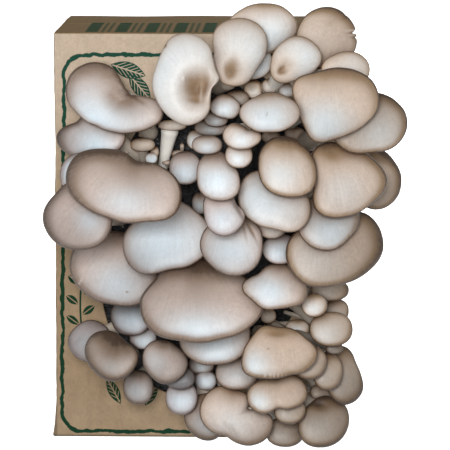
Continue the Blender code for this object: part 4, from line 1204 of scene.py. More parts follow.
# The rows of a mark's fields in order.
MARKS = {name: tuple(Mark(*row) for row in rows) for name, rows in {
    "big_white": (((8.5, -4.5), 11, 8.5, 70, 3.4, 0.2), ((4.2, -3.5), 9, 4.6, 105, 0.6, 0.2),
                  ((8.2, -6.5), 7, 3, 80, 0.7, 0.22), ((12.7, -4.2), 7.5, 1.8, 84, 1.6, 0.22),
                  ((10.2, -8), 5.5, 1, 85, -0.8, -0.25), ((6.8, -13.2), 5, 1.6, -8, 0.9, 0.18),
                  ((17.6, -4.6), 6.5, 1.9, 58, -3, -0.6), ((-12.4, 20.5), 1.2, 0.9, 0, 0.5, 0.8)),
    "top_oval": (((-5.6, -10), 5, 4, 80, 0.9, 0.26), ((-6.4, -13), 2.4, 3.2, 0, 0.8, 0.3),
                 ((-4.8, -5), 6.5, 3, 75, 0.4, 0.1), ((-8.8, -10), 4.5, 0.8, 95, 0.3, 0.08)),
    "top_white": (((-9, -6.6), 2.6, 1.3, 50, 1.4, 0.5), ((-7.4, -8), 2.2, 0.9, 20, 0.8, 0.3)),
    "crown_small": (((-1.6, -1.3), 1.3, 0.4, 80, 0.3, 0.35),),
    "split_cap": (((17.6, 2.2), 2.6, 0.9, 12, 1.2, 0.5, 3), ((18.2, -1), 2, 0.8, -8, 0.6, 0.4, 1.4),
                  ((15.2, 3.4), 2.6, 0.5, 8, -0.8, -0.7), ((16.8, 0.6), 2, 0.5, -6, -0.6, -0.6),
                  ((12.3, 13.6), 1.6, 1, -40, 0.4, 0.5, 0.8),
                  ((2, 8), 4, 2.5, 20, 0.3, 0.12)),
    "left_fan": (((12, 6), 9, 4, 50, 1.4, 0.38), ((15, 1.5), 6, 1.2, -30, 1, 0.25),
                 ((13, 9.5), 4, 0.8, 75, 0.9, 0.25), ((4, 9), 9, 6, 30, 0.2, 0.12)),
    "left_low_shell": (((-20.5, -8.3), 4.4, 0.5, 58, -0.35, -0.5),
                       ((9.1, -13.8), 0.7, 0.7, 0, 0.3, 0.7)),
    "left_bean": (((10, 15), 8, 3, 0, 0.8, 0.25),),
    "centre_pale": (((-9.8, -20.5), 1.2, 0.9, 0, -0.6, -0.6),),
    "heart_big": (((0, 20.8), 18, 6, -5, 0.3, 0.25), ((10, -6), 9, 1.4, 70, 0.3, 0.04)),
    "centre_folded": (((11, 10), 7, 1, -62, 1.2, 0.4), ((7, 9), 6, 0.9, -75, 0.6, 0.2)),
    "mid_fold": (((8.5, 3), 8, 1.5, -60, 1.8, 0.45),),
    "right_mid": (((-11, 17), 6, 4, -40, 0.8, 0.3),),
    "low_left_dark": (((1, 9), 8, 4, -10, 0.4, 0.25),),
    "low_right_brown": (((-1, 12.5), 6, 2.2, 0, 1, 0.25), ((-6, 3), 1.2, 0.7, 20, 0.3, 0.25),
                        *(((x, -14.6), 1.6, 0.5, 88, -0.25, -0.5)
                          for x in (-8, -4.6, -2.4, 0.2, 2.6, 5))),
    "foot_shell": (((-6.3, -6.3), 6, 1.3, -55, 0.6, 0.16), ((-2, -9), 5, 1.1, -60, 0.5, 0.14)),
    "foot_right": (((-4.5, 12), 6, 2.8, -20, 1.4, 0.4),),
}.items()}


class Fineness(Enum):
    """How finely a mushroom is meshed: points round it, then rings on its dome, rim, gill side and stem."""

    LARGE = (112, 34, 6, 10, 20)
    MEDIUM = (80, 24, 5, 8, 16)
    SMALL = (56, 16, 4, 6, 12)

    @classmethod
    def of(cls, radius: float) -> "Fineness":
        """The fineness for a cap's radius."""
        return cls.LARGE if radius > 18 else cls.MEDIUM if radius > 9.5 else cls.SMALL


@dataclass
class Mushroom:
    """One mushroom: dome, rolled rim, gill side, stem and foot in one closed skin."""

    growth: Growth
    ahead: float
    place: int = 0              # in its bouquet
    skin: Skin = field(default_factory=Skin)
    marks: tuple[Mark, ...] = ()

    GILL_UV = "gill_uv"
    MIDDLE = (14.0, 132.0)      # of the whole cluster, x and z; painted shade darkens caps on the side away from it
    STEM_LIGHT = 0.78           # most that a stem behind a light cap is lit
    JOIN_TURN = 0.23            # between the faces of the stems of a bouquet
    RIDGES = 0.025              # of a stem, as a share of its radius
    WAVY = 0.008                # of a rim, likewise
    MARGIN, EDGE = 0.78, 0.945  # from these shares to the rim: own brown with painted shade
    FOCUS_WIDE = 0.72           # how far the threads' place spreads, as a share of the radius

    def __post_init__(self) -> None:
        """Seeds what differs from mushroom to mushroom."""
        self.random = np.random.default_rng([SEED, *self.growth.name.encode()])
        self.seed = float(self.random.uniform(0, 90))
        self.waves = [(k, self.random.uniform(0.3, 1) / k, self.random.uniform(0, math.tau))
                      for k in (3, 4, 5, 7, 9, 13, 17)]

    def wave(self, angle: Array, shift: float = 0.0) -> Array:
        """A gentle wave round the cap, about -1 to 1."""
        return sum(size * np.sin(k * angle + start + shift * k) for k, size, start in self.waves) * 1.6

    def dome_at(self, share: float, rim: Array, angle: Array) -> tuple[Array, Array]:
        """A ring on the dome with its small unevenness.

        Args:
            share: how far out the ring is.
            rim: the rim's offsets from the centre.
            angle: their angles.

        Returns:
            The ring, as x, z and distance ahead from the cap's centre, and the marks' stains and painted
            shade.
        """
        growth, flat = self.growth, rim * share
        top = growth.surfaces(flat, share)[0]
        scale = min(1.0, growth.radius / 25)
        top = top + self.wave(angle) * 0.55 * scale * share ** 3
        pressed = np.zeros(len(flat))
        for mark in self.marks:
            press = mark.press(flat)
            top = top - press * mark.depth
            # a mark's brown: a stain, and painted shade in a dent or painted light on a ridge
            pressed = pressed + press * mark.brown
        return np.column_stack([flat, top]), pressed

    def build(self) -> bpy.types.Object:
        """Makes the mesh, with the attributes that its finish reads.

        Returns:
            The mushroom without its gill blades.
        """
        growth = self.growth
        sides, domes, rolls, gills, stems = Fineness.of(growth.radius).value
        angle = circle(sides) + self.JOIN_TURN * self.place
        reach = growth.reach_at(angle) * (1 + self.WAVY * self.wave(angle, 2.0))
        out = ways(angle)
        reach = reach - sum(mark.cut * mark.press(out * reach[:, None]) for mark in self.marks)
        rim = out * reach[:, None]
        centre, grip = np.array(growth.centre), np.array(growth.grip)
        rings: list[Array] = []
        looks: list[tuple[float, Array, float]] = []    # share of the reach, pressed, bare

        def add(ring: Array, share: float, pressed: Array | None = None, bare: float = 1.0) -> None:
            """Adds a ring and its looks."""
            rings.append(ring)
            looks.append((share, np.zeros(sides) if pressed is None else pressed, bare))

        for step in range(1, domes + 1):
            share = math.sin(math.pi / 2 * step / domes) ** 0.95
            ring, pressed = self.dome_at(share, rim, angle)
            add(ring, share, pressed, 0.0)
        edge_height = rings[-1][:, 2]
        for step in range(1, rolls + 1):
            turn = math.pi / 2 * step / rolls
            share = growth.ROLL_IN + (1 - growth.ROLL_IN) * math.cos(turn)
            under = growth.surfaces(rim * growth.ROLL_IN)[1]
            even = 1 - math.sin(turn)
            height = edge_height * even + under * (1 - even)
            add(np.column_stack([rim * share, height]), share, None, smooth(turn, 0.7, 1.57).item())
        edge = rim * growth.ROLL_IN
        first_gill = len(rings) - 1
        bend = 1 - 0.5 / gills
        for share in (*np.linspace(1, 0.5, gills + 1)[1:-1], 0.5 + 0.5 * (1 - bend), 0.5):
            flat = grip + (edge - grip) * share
            drop = growth.GILLS_DOWN * growth.radius * (1 - share) ** 2
            add(np.column_stack([flat, growth.surfaces(flat)[1] - drop]), share)
        local = np.array([*centre, self.ahead])
        stem = [ring - local for ring in self.stem_rings(angle, stems)]
        before, start = rings[-2], rings[-1]
        pull = 0.9 * np.linalg.norm(stem[0] - start, axis=1).mean()
        lead, follow = (way * (pull / max(np.linalg.norm(way, axis=1).mean(), 1e-6))
                        for way in (start - before, stem[1] - stem[0]))
        blend = max(4, stems // 3)
        for step in range(1, blend):
            u = step / blend
            add(start * (2 * u ** 3 - 3 * u ** 2 + 1) + lead * (u ** 3 - 2 * u ** 2 + u)
                + stem[0] * (3 * u ** 2 - 2 * u ** 3) + follow * (u ** 3 - u ** 2), 0.5 * (1 - u))
        last_gill = len(rings) - 1
        for ring in stem:
            add(ring, 0.0)
        rings = [ring + local for ring in rings]
        top = (*centre, float(growth.surfaces([(0.0, 0.0)], 0.0)[0][0]) + self.ahead)
        points, faces = loft(rings, (top, rings[-1].mean(axis=0)))
        made = mesh_object("grown_" + growth.name, placed(points), faces, (FLESH, GILL))
        self.dress(made.data, points, looks, sides)
        self.unroll_gills(made.data, sides, first_gill, last_gill)
        return made

    def focus(self) -> Array:
        """The place that the threads of the skin come from: the cap's upper edge, unless the skin says.

        Returns:
            Its offset from the cap's centre.
        """
        radius = self.growth.radius
        if self.skin.focus is not None:
            return np.array(self.skin.focus) * radius
        side = np.clip(self.growth.grip[0] / radius, -0.6, 0.6)
        return np.array([side, 0.98]) * radius

    def stem_rings(self, angle: Array, count: int) -> list[Array]:
        """The rings of the stem from under the cap to its foot, slightly ridged along its length.

        Args:
            angle: the angles of a ring's points.
            count: how many rings the curve has.

        Returns:
            The rings, as x, z and distance ahead.
        """
        growth = self.growth
        a, b, c, d = growth.path(self.ahead, self.place)
        rings = []
        for t in np.linspace(0.2, 1.0, count):
            point = a * (1 - t) ** 3 + b * (3 * t * (1 - t) ** 2) + c * (3 * t * t * (1 - t)) + d * t ** 3
            way = ((b - a) * (1 - t) ** 2 + (c - b) * (2 * t * (1 - t)) + (d - c) * t * t).normalized()
            turn = np.array(Vector((0, 0, -1)).rotation_difference(way).to_matrix())
            ridges = 1 + self.RIDGES * self.wave(angle, 3.0) * math.sin(math.pi * min(t, 0.9))
            thick = growth.stem * (1 + growth.flare * (1 - t) ** 2) * ridges
            ring = np.column_stack([ways(angle) * thick[:, None], np.zeros(len(angle))])
            rings.append(ring @ turn.T + np.array(point))
        for _ in range(0 if self.place else 2):
            rings.append(rings[-1] + (0, 0, (growth.FOOT_AHEAD - growth.MOUTH_AHEAD) / 2))
        return rings

    def dress(self, mesh: bpy.types.Mesh, points: Array, looks: list, sides: int) -> None:
        """Stores how pale, brown, bluish or warm, light and bare each point is, and the way of its threads.

        The pale is partly a painted highlight, the brown partly painted shade, the bluish or warm hue partly
        a painted tint of the light, and the lightness holds painted light and shade.

        Args:
            mesh: the mushroom's mesh.
            points: its points, as x, z and distance ahead.
            looks: each ring's share of the reach, how pressed in it is, and how bare.
            sides: how many points a ring has.
        """
        growth, skin, radius = self.growth, self.skin, self.growth.radius
        flat = points[:, :2] - np.array(growth.centre)
        shares, presses, bares = zip(*looks)
        share = np.concatenate([[0.0], np.repeat(shares, sides), [0.0]])
        pressed = np.concatenate([[presses[0].mean()], *presses, [0.0]])
        bare = np.concatenate([[0.0], np.repeat(bares, sides), [1.0]])
        from_focus = flat - self.focus()
        apart = np.hypot(*from_focus.T)
        source = flat - self.focus() * skin.beyond
        about = np.arctan2(source[:, 1], source[:, 0])
        # a pale patch, partly the skin's own paleness and partly a painted highlight
        pale_and_highlight_spot = np.hypot(*((flat / radius - skin.pale_and_highlight_spot) / skin.size).T)
        streaks = self.wave(about * 2, 4.0)
        near_focus = np.exp(-(apart / (self.FOCUS_WIDE * radius)) ** 2)
        pale = skin.pale * np.exp(-pale_and_highlight_spot ** 2) * (1 + 0.06 * streaks) * (1 - 0.8 * near_focus)
        # browner towards the upper edge, partly pigment and partly painted shade from the caps above; painted
        # shade along the lower margin, towards the rim and on the side turned away from the cluster's middle
        upper = smooth(flat[:, 1] / radius, 0.35, 1.05)
        lower_painted_shade = smooth(-flat[:, 1] / radius, -0.2, 0.9)
        outward = (np.array(growth.centre) - self.MIDDLE) / 60
        outward /= max(1.0, np.linalg.norm(outward))
        outer = smooth(flat @ outward / radius, 0.0, 1.1)
        limb_painted_shade = smooth(share, 0.45, 1.0) ** 1.3
        margin, edge = smooth(share, self.MARGIN, 1.0), smooth(share, self.EDGE, 1.0)
        brown = skin.brown * (0.38 * upper + 0.72 * near_focus) * (1 + 0.15 * streaks)
        # the rim's brown: partly the margin's own colour, partly painted shade, and a dark edge line partly
        # painted shadow
        rim_brown_and_painted_shade = (0.08 + 0.40 * outer) * limb_painted_shade + (0.18 + 0.20 * lower_painted_shade) * margin + 0.95 * edge
        brown = brown + rim_brown_and_painted_shade * (0.45 + skin.brown) * skin.rim * (1 - bare)
        # bluish or warm: the cap's hue and a painted tint of the light, by default bluish on the left and
        # warm on the right
        cool_hue_and_painted_tint = 0.2 - (growth.centre[0] - 20) / 140 if skin.cool_hue_and_painted_tint is None else skin.cool_hue_and_painted_tint
        pale = pale * (1 - 0.85 * margin * min(1.0, skin.rim))
        store(mesh, "pale", np.clip(pale * (1 - bare) + skin.flesh * bare, 0, 1))
        store(mesh, "brown", np.clip(brown + pressed, 0, 1) * (1 - bare))
        store(mesh, "margin", margin * (1 - bare) * min(1.0, skin.rim ** 2))
        store(mesh, "cool_hue_and_painted_tint", np.full(len(points), np.clip(cool_hue_and_painted_tint, -1, 1)))
        store(mesh, "bare", bare)
        # the cap's lightness, with painted light and shade and a painted gradient towards its right and upper
        # edge
        light, across, up = (*TONES_AND_PAINTED_LIGHT.get(growth.name, (1.0,)), 0.0, 0.0)[:3]
        light = light * (1 + flat @ (across, up) / radius)
        # stems get painted shade: no lighter than STEM_LIGHT where their flesh is low
        light = light + (np.minimum(light, self.STEM_LIGHT) - light) * bare * (1 - skin.flesh)
        store(mesh, "tone_and_painted_light", np.clip(light, 0.15, 2.2))
        round_threads = max(3.0, np.hypot(*source.T).mean() * 1.5) * (1 - 0.7 * bare)
        along = np.where(bare > 0.5, points[:, 2] * 0.06, apart * 0.06)
        fibre = (np.cos(about) * round_threads, np.sin(about) * round_threads, along + self.seed)
        store(mesh, "fibre", np.column_stack(fibre))

    def unroll_gills(self, mesh: bpy.types.Mesh, sides: int, first: int, last: int) -> None:
        """Lays the gill side out flat, as turn and share from the rim to the stem; all else lies outside.

        Args:
            mesh: the mushroom's mesh.
            sides: how many points a ring has.
            first: the first ring of the gill side.
            last: its last ring.
        """
        layer = mesh.uv_layers.new(name=self.GILL_UV)
        ring, side = np.divmod(read(mesh.loops, "vertex_index", np.int32) - 1, sides)
        starts, totals = (read(mesh.polygons, what, np.int32) for what in ("loop_start", "loop_total"))
        face = np.repeat(np.arange(len(starts)), totals)
        lowest, left = (np.minimum.reduceat(part, starts)[face] for part in (ring, side))
        highest, right = (np.maximum.reduceat(part, starts)[face] for part in (ring, side))
        seam = (left == 0) & (right == sides - 1) & (side == 0)
        inside = (lowest >= first) & (highest <= last) & (totals[face] == 4)
        u = np.where(inside, np.where(seam, sides, side) / sides, -2.0)
        v = np.where(inside, (ring - first) / (last - first), -2.0)
        layer.data.foreach_set("uv", np.column_stack([u, v]).ravel().astype(np.float32))


class GillTree(Growing):
    """Grows gill blades on a mushroom's unrolled gill side: a pleated sheet whose edges lie in the flesh."""

    SUNK = 0.15 * METRE         # how deep its edges lie

    def __init__(self) -> None:
        """Builds the tree."""
        super().__init__("gills", blades="Int", depth="Float", look="Material")
        columns = self.given("blades") * 2.0
        grid = self.add("GeometryNodeMeshGrid", {"Size X": 1.0, "Size Y": 1.0, "Vertices Y": 9,
                                                 "Vertices X": columns + 1.0})
        x, y, _ = self.parts(self.add("GeometryNodeInputPosition"))
        turn, share = (x + 0.5).held(), (y + 0.5).held()
        column = (turn * columns).math("ROUND")
        ridge = column.math("MODULO", 2.0)
        short = (column / 2.0).math("FLOOR").math("MODULO", 2.0)
        reach = share.rise(0.0, 0.12) * (1.0 - (share + short * 0.35).rise(0.72, 1.0))
        lift = ridge * reach * (self.given("depth") + self.SUNK) - self.SUNK
        at = self.joined(turn * 0.9999 + 0.00005, share * 0.96 + 0.01)
        mushroom = self.given("Geometry")
        unrolled = self.add("GeometryNodeInputNamedAttribute", {"Name": Mushroom.GILL_UV},
                            data_type="FLOAT_VECTOR")
        place, normal = (
            self.add("GeometryNodeSampleUVSurface", {"Mesh": mushroom, "Value": self.add(what),
                                                     "Source UV Map": unrolled, "Sample UV": at},
                     data_type="FLOAT_VECTOR")
            for what in ("GeometryNodeInputPosition", "GeometryNodeInputNormal"))
        at = self.vector("ADD", place, self.scaled(self.vector("NORMALIZE", normal), lift))
        bent = self.add("GeometryNodeSetPosition", {"Geometry": grid, "Position": at})
        join = self.tree.nodes.new("GeometryNodeJoinGeometry")
        for part in (self.painted(bent, "look"), mushroom):
            self.tree.links.new(part.socket, join.inputs[0])
        self.close(Wire(self, join.outputs[0]))


class MyceliumTree(Growing):
    """Scatters small lumps of mycelium on a patch, and keeps only the lumps."""

    def __init__(self) -> None:
        """Builds the tree."""
        super().__init__("mycelium", lumps="Float", size="Float", look="Material", seed="Int")
        seed = self.given("seed")
        spread = self.add("GeometryNodeDistributePointsOnFaces",
                          {"Mesh": self.given("Geometry"), "Density": self.given("lumps"), "Seed": seed})
        lump = self.add("GeometryNodeMeshIcoSphere", {"Radius": self.given("size"), "Subdivisions": 2})
        grow = self.add("FunctionNodeRandomValue", {"Seed": seed}, 1, data_type="FLOAT") * 1.2 + 0.4
        shape = self.joined(grow, grow * 0.6, grow * 1.1)
        inputs = {"Points": spread, "Instance": lump, "Scale": shape}
        self.close(self.add("GeometryNodeInstanceOnPoints", inputs), "look")


class OcclusionPainter:
    """Painted shade: how closed in each place of a mushroom is by what stands near it, which darkens its
    colour.
    """

    FAR = 26.0                  # what is farther off than this doesn't count
    RAYS = 24
    CLEAR = 0.3                 # the rays start this far off the skin
    RING_STEP, SIDE_STEP = 3, 4     # rays start from every third ring and every fourth point of it

    def __init__(self, solids: Iterable[bpy.types.Object]) -> None:
        """Gathers the solids.

        Args:
            solids: all that can close a place in, darkening it with painted shade.
        """
        points: list[list[float]] = []
        faces: list[list[int]] = []
        for solid in solids:
            faces += [[len(points) + corner for corner in face.vertices] for face in solid.data.polygons]
            points += read(solid.data.vertices, "co", wide=3).tolist()
        self.tree = BVHTree.FromPolygons(points, faces)
        step = np.arange(self.RAYS)
        out = np.sqrt((step + 0.5) / self.RAYS)
        turn = step * math.pi * (3 - math.sqrt(5))
        self.ways = np.column_stack([ways(turn) * out[:, None], np.sqrt(1 - out ** 2)])

    def shade(self, made: bpy.types.Object, sides: int) -> None:
        """Stores painted shade for each point of a mushroom's skin: how closed in it is, from 0 to 1.

        Args:
            made: the mushroom.
            sides: how many points a ring has.
        """
        items = made.data.vertices
        rings = (len(items) - 2) // sides
        some = np.unique([*range(0, rings, self.RING_STEP), rings - 1])
        across = np.arange(0, sides, self.SIDE_STEP)
        chosen = (1 + some[:, None] * sides + across).ravel()
        point, normal = (read(items, what, wide=3)[chosen] for what in ("co", "normal"))
        point = point + normal * self.CLEAR * METRE
        side = np.cross(normal, (0.31, 0.72, 0.62))
        side /= np.linalg.norm(side, axis=1, keepdims=True)
        axes = np.stack([side, np.cross(normal, side), normal], axis=1)
        far, cast = self.FAR * METRE, self.tree.ray_cast
        painted_occlusion = np.zeros(len(chosen))
        for index, (start, ways) in enumerate(zip(point.tolist(), (self.ways @ axes).tolist())):
            hits = (cast(start, way, far)[3] for way in ways)
            painted_occlusion[index] = sum(1 - hit / far for hit in hits if hit is not None) / self.RAYS
        painted_occlusion = painted_occlusion.reshape(len(some), len(across))
        wide = np.array([np.interp(np.arange(sides), [*across, sides], [*row, row[0]]) for row in painted_occlusion])
        full = np.column_stack([np.interp(np.arange(rings), some, column) for column in wide.T])
        store(made.data, "painted_occlusion", np.concatenate([[full[0].mean()], full.ravel(), [1.0]]))


@dataclass
class Cluster:
    """All the mushrooms, each lying on those behind it."""

    growths: Sequence[Growth] = GROWTHS
    pins: Sequence[Growth] = PINS
    cap_gap: float = 2.0
    floor_gap: float = 2.0
    skins: dict[str, bpy.types.Object] = field(default_factory=dict)

    PATCH_SIDES = 20            # of the rings of mycelium round the feet
    PATCH_SIZES = (0.85, 1.25)  # from here to here, as shares of the stem's radius

    def place_of(self, growth: Growth) -> int:
        """0 for a mushroom with a foot of its own, which is the largest of a bouquet, and so on down."""
        others = [other for other in self.growths if growth.bouquet and other.bouquet == growth.bouquet]
        return sorted(others, key=lambda cap: cap.radius, reverse=True).index(growth) if others else 0

    def clearance(self, front: Growth, rear: Growth, rear_ahead: float) -> float:
        """How far ahead the front cap has to be to lie clear of the rear one.

        Args:
            front: the front cap.
            rear: the cap behind it.
            rear_ahead: how far ahead that one lies.

        Returns:
            The least distance ahead, without end below 0 where the caps don't meet.
        """
        needed = -math.inf
        for base, spots in ((front, front.spots()), (rear, rear.spots())):
            seen = spots + base.centre
            flats = [seen - np.array(cap.centre) for cap in (front, rear)]
            both = np.ones(len(seen), bool)
            for cap, flat in zip((front, rear), flats):
                both &= np.hypot(*flat.T) <= cap.reach_at(np.arctan2(flat[:, 1], flat[:, 0])) * 1.001
            if both.any():
                top = rear.surfaces(flats[1][both])[0] + rear_ahead
                under = front.surfaces(flats[0][both])[1]
                needed = max(needed, float((top - under).max()) + self.cap_gap)
        return needed

    def settled(self) -> dict[str, float]:
        """How far ahead each cap lies, from the rearmost to the foremost.

        Returns:
            The distances, by the caps' names.
        """
        ahead: dict[str, float] = {}
        for index, growth in enumerate(self.growths):
            spots = growth.spots()
            under = growth.surfaces(spots)[1]
            level = growth.out - under.min()
            low = spots[:, 1] + growth.centre[1]
            lifted = (self.floor_gap - low) * (FRONT - SIGHT[1]) / (SIGHT[2] - low)
            level = max(level, float((lifted - under).max()))
            near = [rear for rear in self.growths[:index]
                    if math.dist(rear.centre, growth.centre) < 1.8 * (rear.radius + growth.radius) + 5]
            for rear in near:
                level = max(level, self.clearance(growth, rear, ahead[rear.name]))
            ahead[growth.name] = level
        return ahead

    def sprout(self, others: Sequence[bpy.types.Object]) -> None:
        """Makes the mushrooms' skins and paints shade where they are closed in by each other or by the
        others.

        Args:
            others: what else shuts the mushrooms in.
        """
        everyone, ahead = (*self.growths, *self.pins), self.settled()
        for pin in self.pins:
            ahead[pin.name] = pin.out - pin.surfaces(pin.spots())[1].min()
        for growth in everyone:
            name, place = growth.name, self.place_of(growth)
            grown = Mushroom(growth, ahead[name], place, SKINS.get(name, Skin()), MARKS.get(name, ()))
            self.skins[name] = grown.build()
        occlusion_painter = OcclusionPainter((*self.skins.values(), *others))
        for growth in everyone:
            occlusion_painter.shade(self.skins[growth.name], Fineness.of(growth.radius).value[0])
        log.info("%d skins are shaded", len(self.skins))

    @cached_property
    def gills(self) -> GillTree:
        """The tree that grows the gill blades."""
        return GillTree()

    def grow_gills(self, growth: Growth) -> bpy.types.Object:
        """A mushroom's skin with its gill blades."""
        return self.gills.grow(self.skins[growth.name], blades=round(14 + 1.7 * growth.radius),
                               depth=(0.45 + 0.035 * growth.radius) * METRE, look=GILL.material())

    def build(self) -> dict[str, bpy.types.Object]:
        """Makes the pieces.

        Returns:
            Each piece by the name of the node that it replaces.
        """
        members: dict[str, list[bpy.types.Object]] = {}
        for growth in self.growths:
            node = "bouquet_" + growth.bouquet if growth.bouquet else "mushroom_" + growth.name
            members.setdefault(node, []).append(self.grow_gills(growth))
        return {node: self.joined(made) for node, made in members.items()}

    def build_pins(self) -> bpy.types.Object:
        """Makes the small mushrooms between the others, as one piece.

        Returns:
            The piece.
        """
        piece = self.joined([self.grow_gills(growth) for growth in self.pins])
        piece.name = "grown_pins"
        return piece

    @staticmethod
    def joined(made: list[bpy.types.Object]) -> bpy.types.Object:
        """Joins objects into the first one.

        Args:
            made: the objects.

        Returns:
            The first of them, with all the meshes.
        """
        if len(made) > 1:
            with bpy.context.temp_override(active_object=made[0], selected_editable_objects=made,
                                           selected_objects=made):
                bpy.ops.object.join()
        return made[0]

    def mycelium(self) -> bpy.types.Object:
        """Lumps of mycelium on the bag round the stems' feet.

        Returns:
            The piece.
        """
        rings, faces, sides = [], [], self.PATCH_SIDES
        for growth in (*self.growths, *self.pins):
            if self.place_of(growth):
                continue
            for size in self.PATCH_SIZES:
                ring = np.array(growth.foot()) + ways(circle(sides)) * growth.stem * size
                rings.append(np.column_stack([ring, np.full(sides, growth.FOOT_AHEAD + 0.1)]))
            a, b = sides * (len(rings) - 2), sides * (len(rings) - 1)
            faces += [(a + i, a + (i + 1) % sides, b + (i + 1) % sides, b + i) for i in range(sides)]
        made = mesh_object("grown_mycelium", placed(np.vstack(rings)), faces, (MYCELIUM,))
        MyceliumTree().grow(made, lumps=1.2e5, size=0.40 * METRE, look=MYCELIUM.material(), seed=SEED)
        made.data.shade_smooth()
        return made


# ---- carton and block ----

def clouds(points: Array, scale: float, seed: int, count: int = 6) -> Array:
    """Smooth unevenness over space, about -1 to 1.

    Args:
        points: the places.
        scale: the length of its waves.
        seed: which unevenness.
        count: how many waves are added up.

    Returns:
        A value for each place.
    """
    random = np.random.default_rng([SEED, seed])
    total = np.zeros(len(points))
    for _ in range(count):
        way = random.normal(size=3)
        way *= random.uniform(0.6, 1.7) * math.tau / scale / np.linalg.norm(way)
        total += np.sin(points @ way + random.uniform(0, math.tau))
    return total / math.sqrt(count)


def upright(flat: Array, y: float) -> Array:
    """A ring of x and z at one y, in space."""
    return np.column_stack([flat[:, 0], np.full(len(flat), y), flat[:, 1]])


def folded(edge: float, turns: Sequence[float]) -> list[Pair]:
    """How far a rounded edge lies inside the flat faces on either side of it, at angles round it."""
    return [(edge * (1 - math.sin(turn)), edge * (1 - math.cos(turn))) for turn in map(math.radians, turns)]


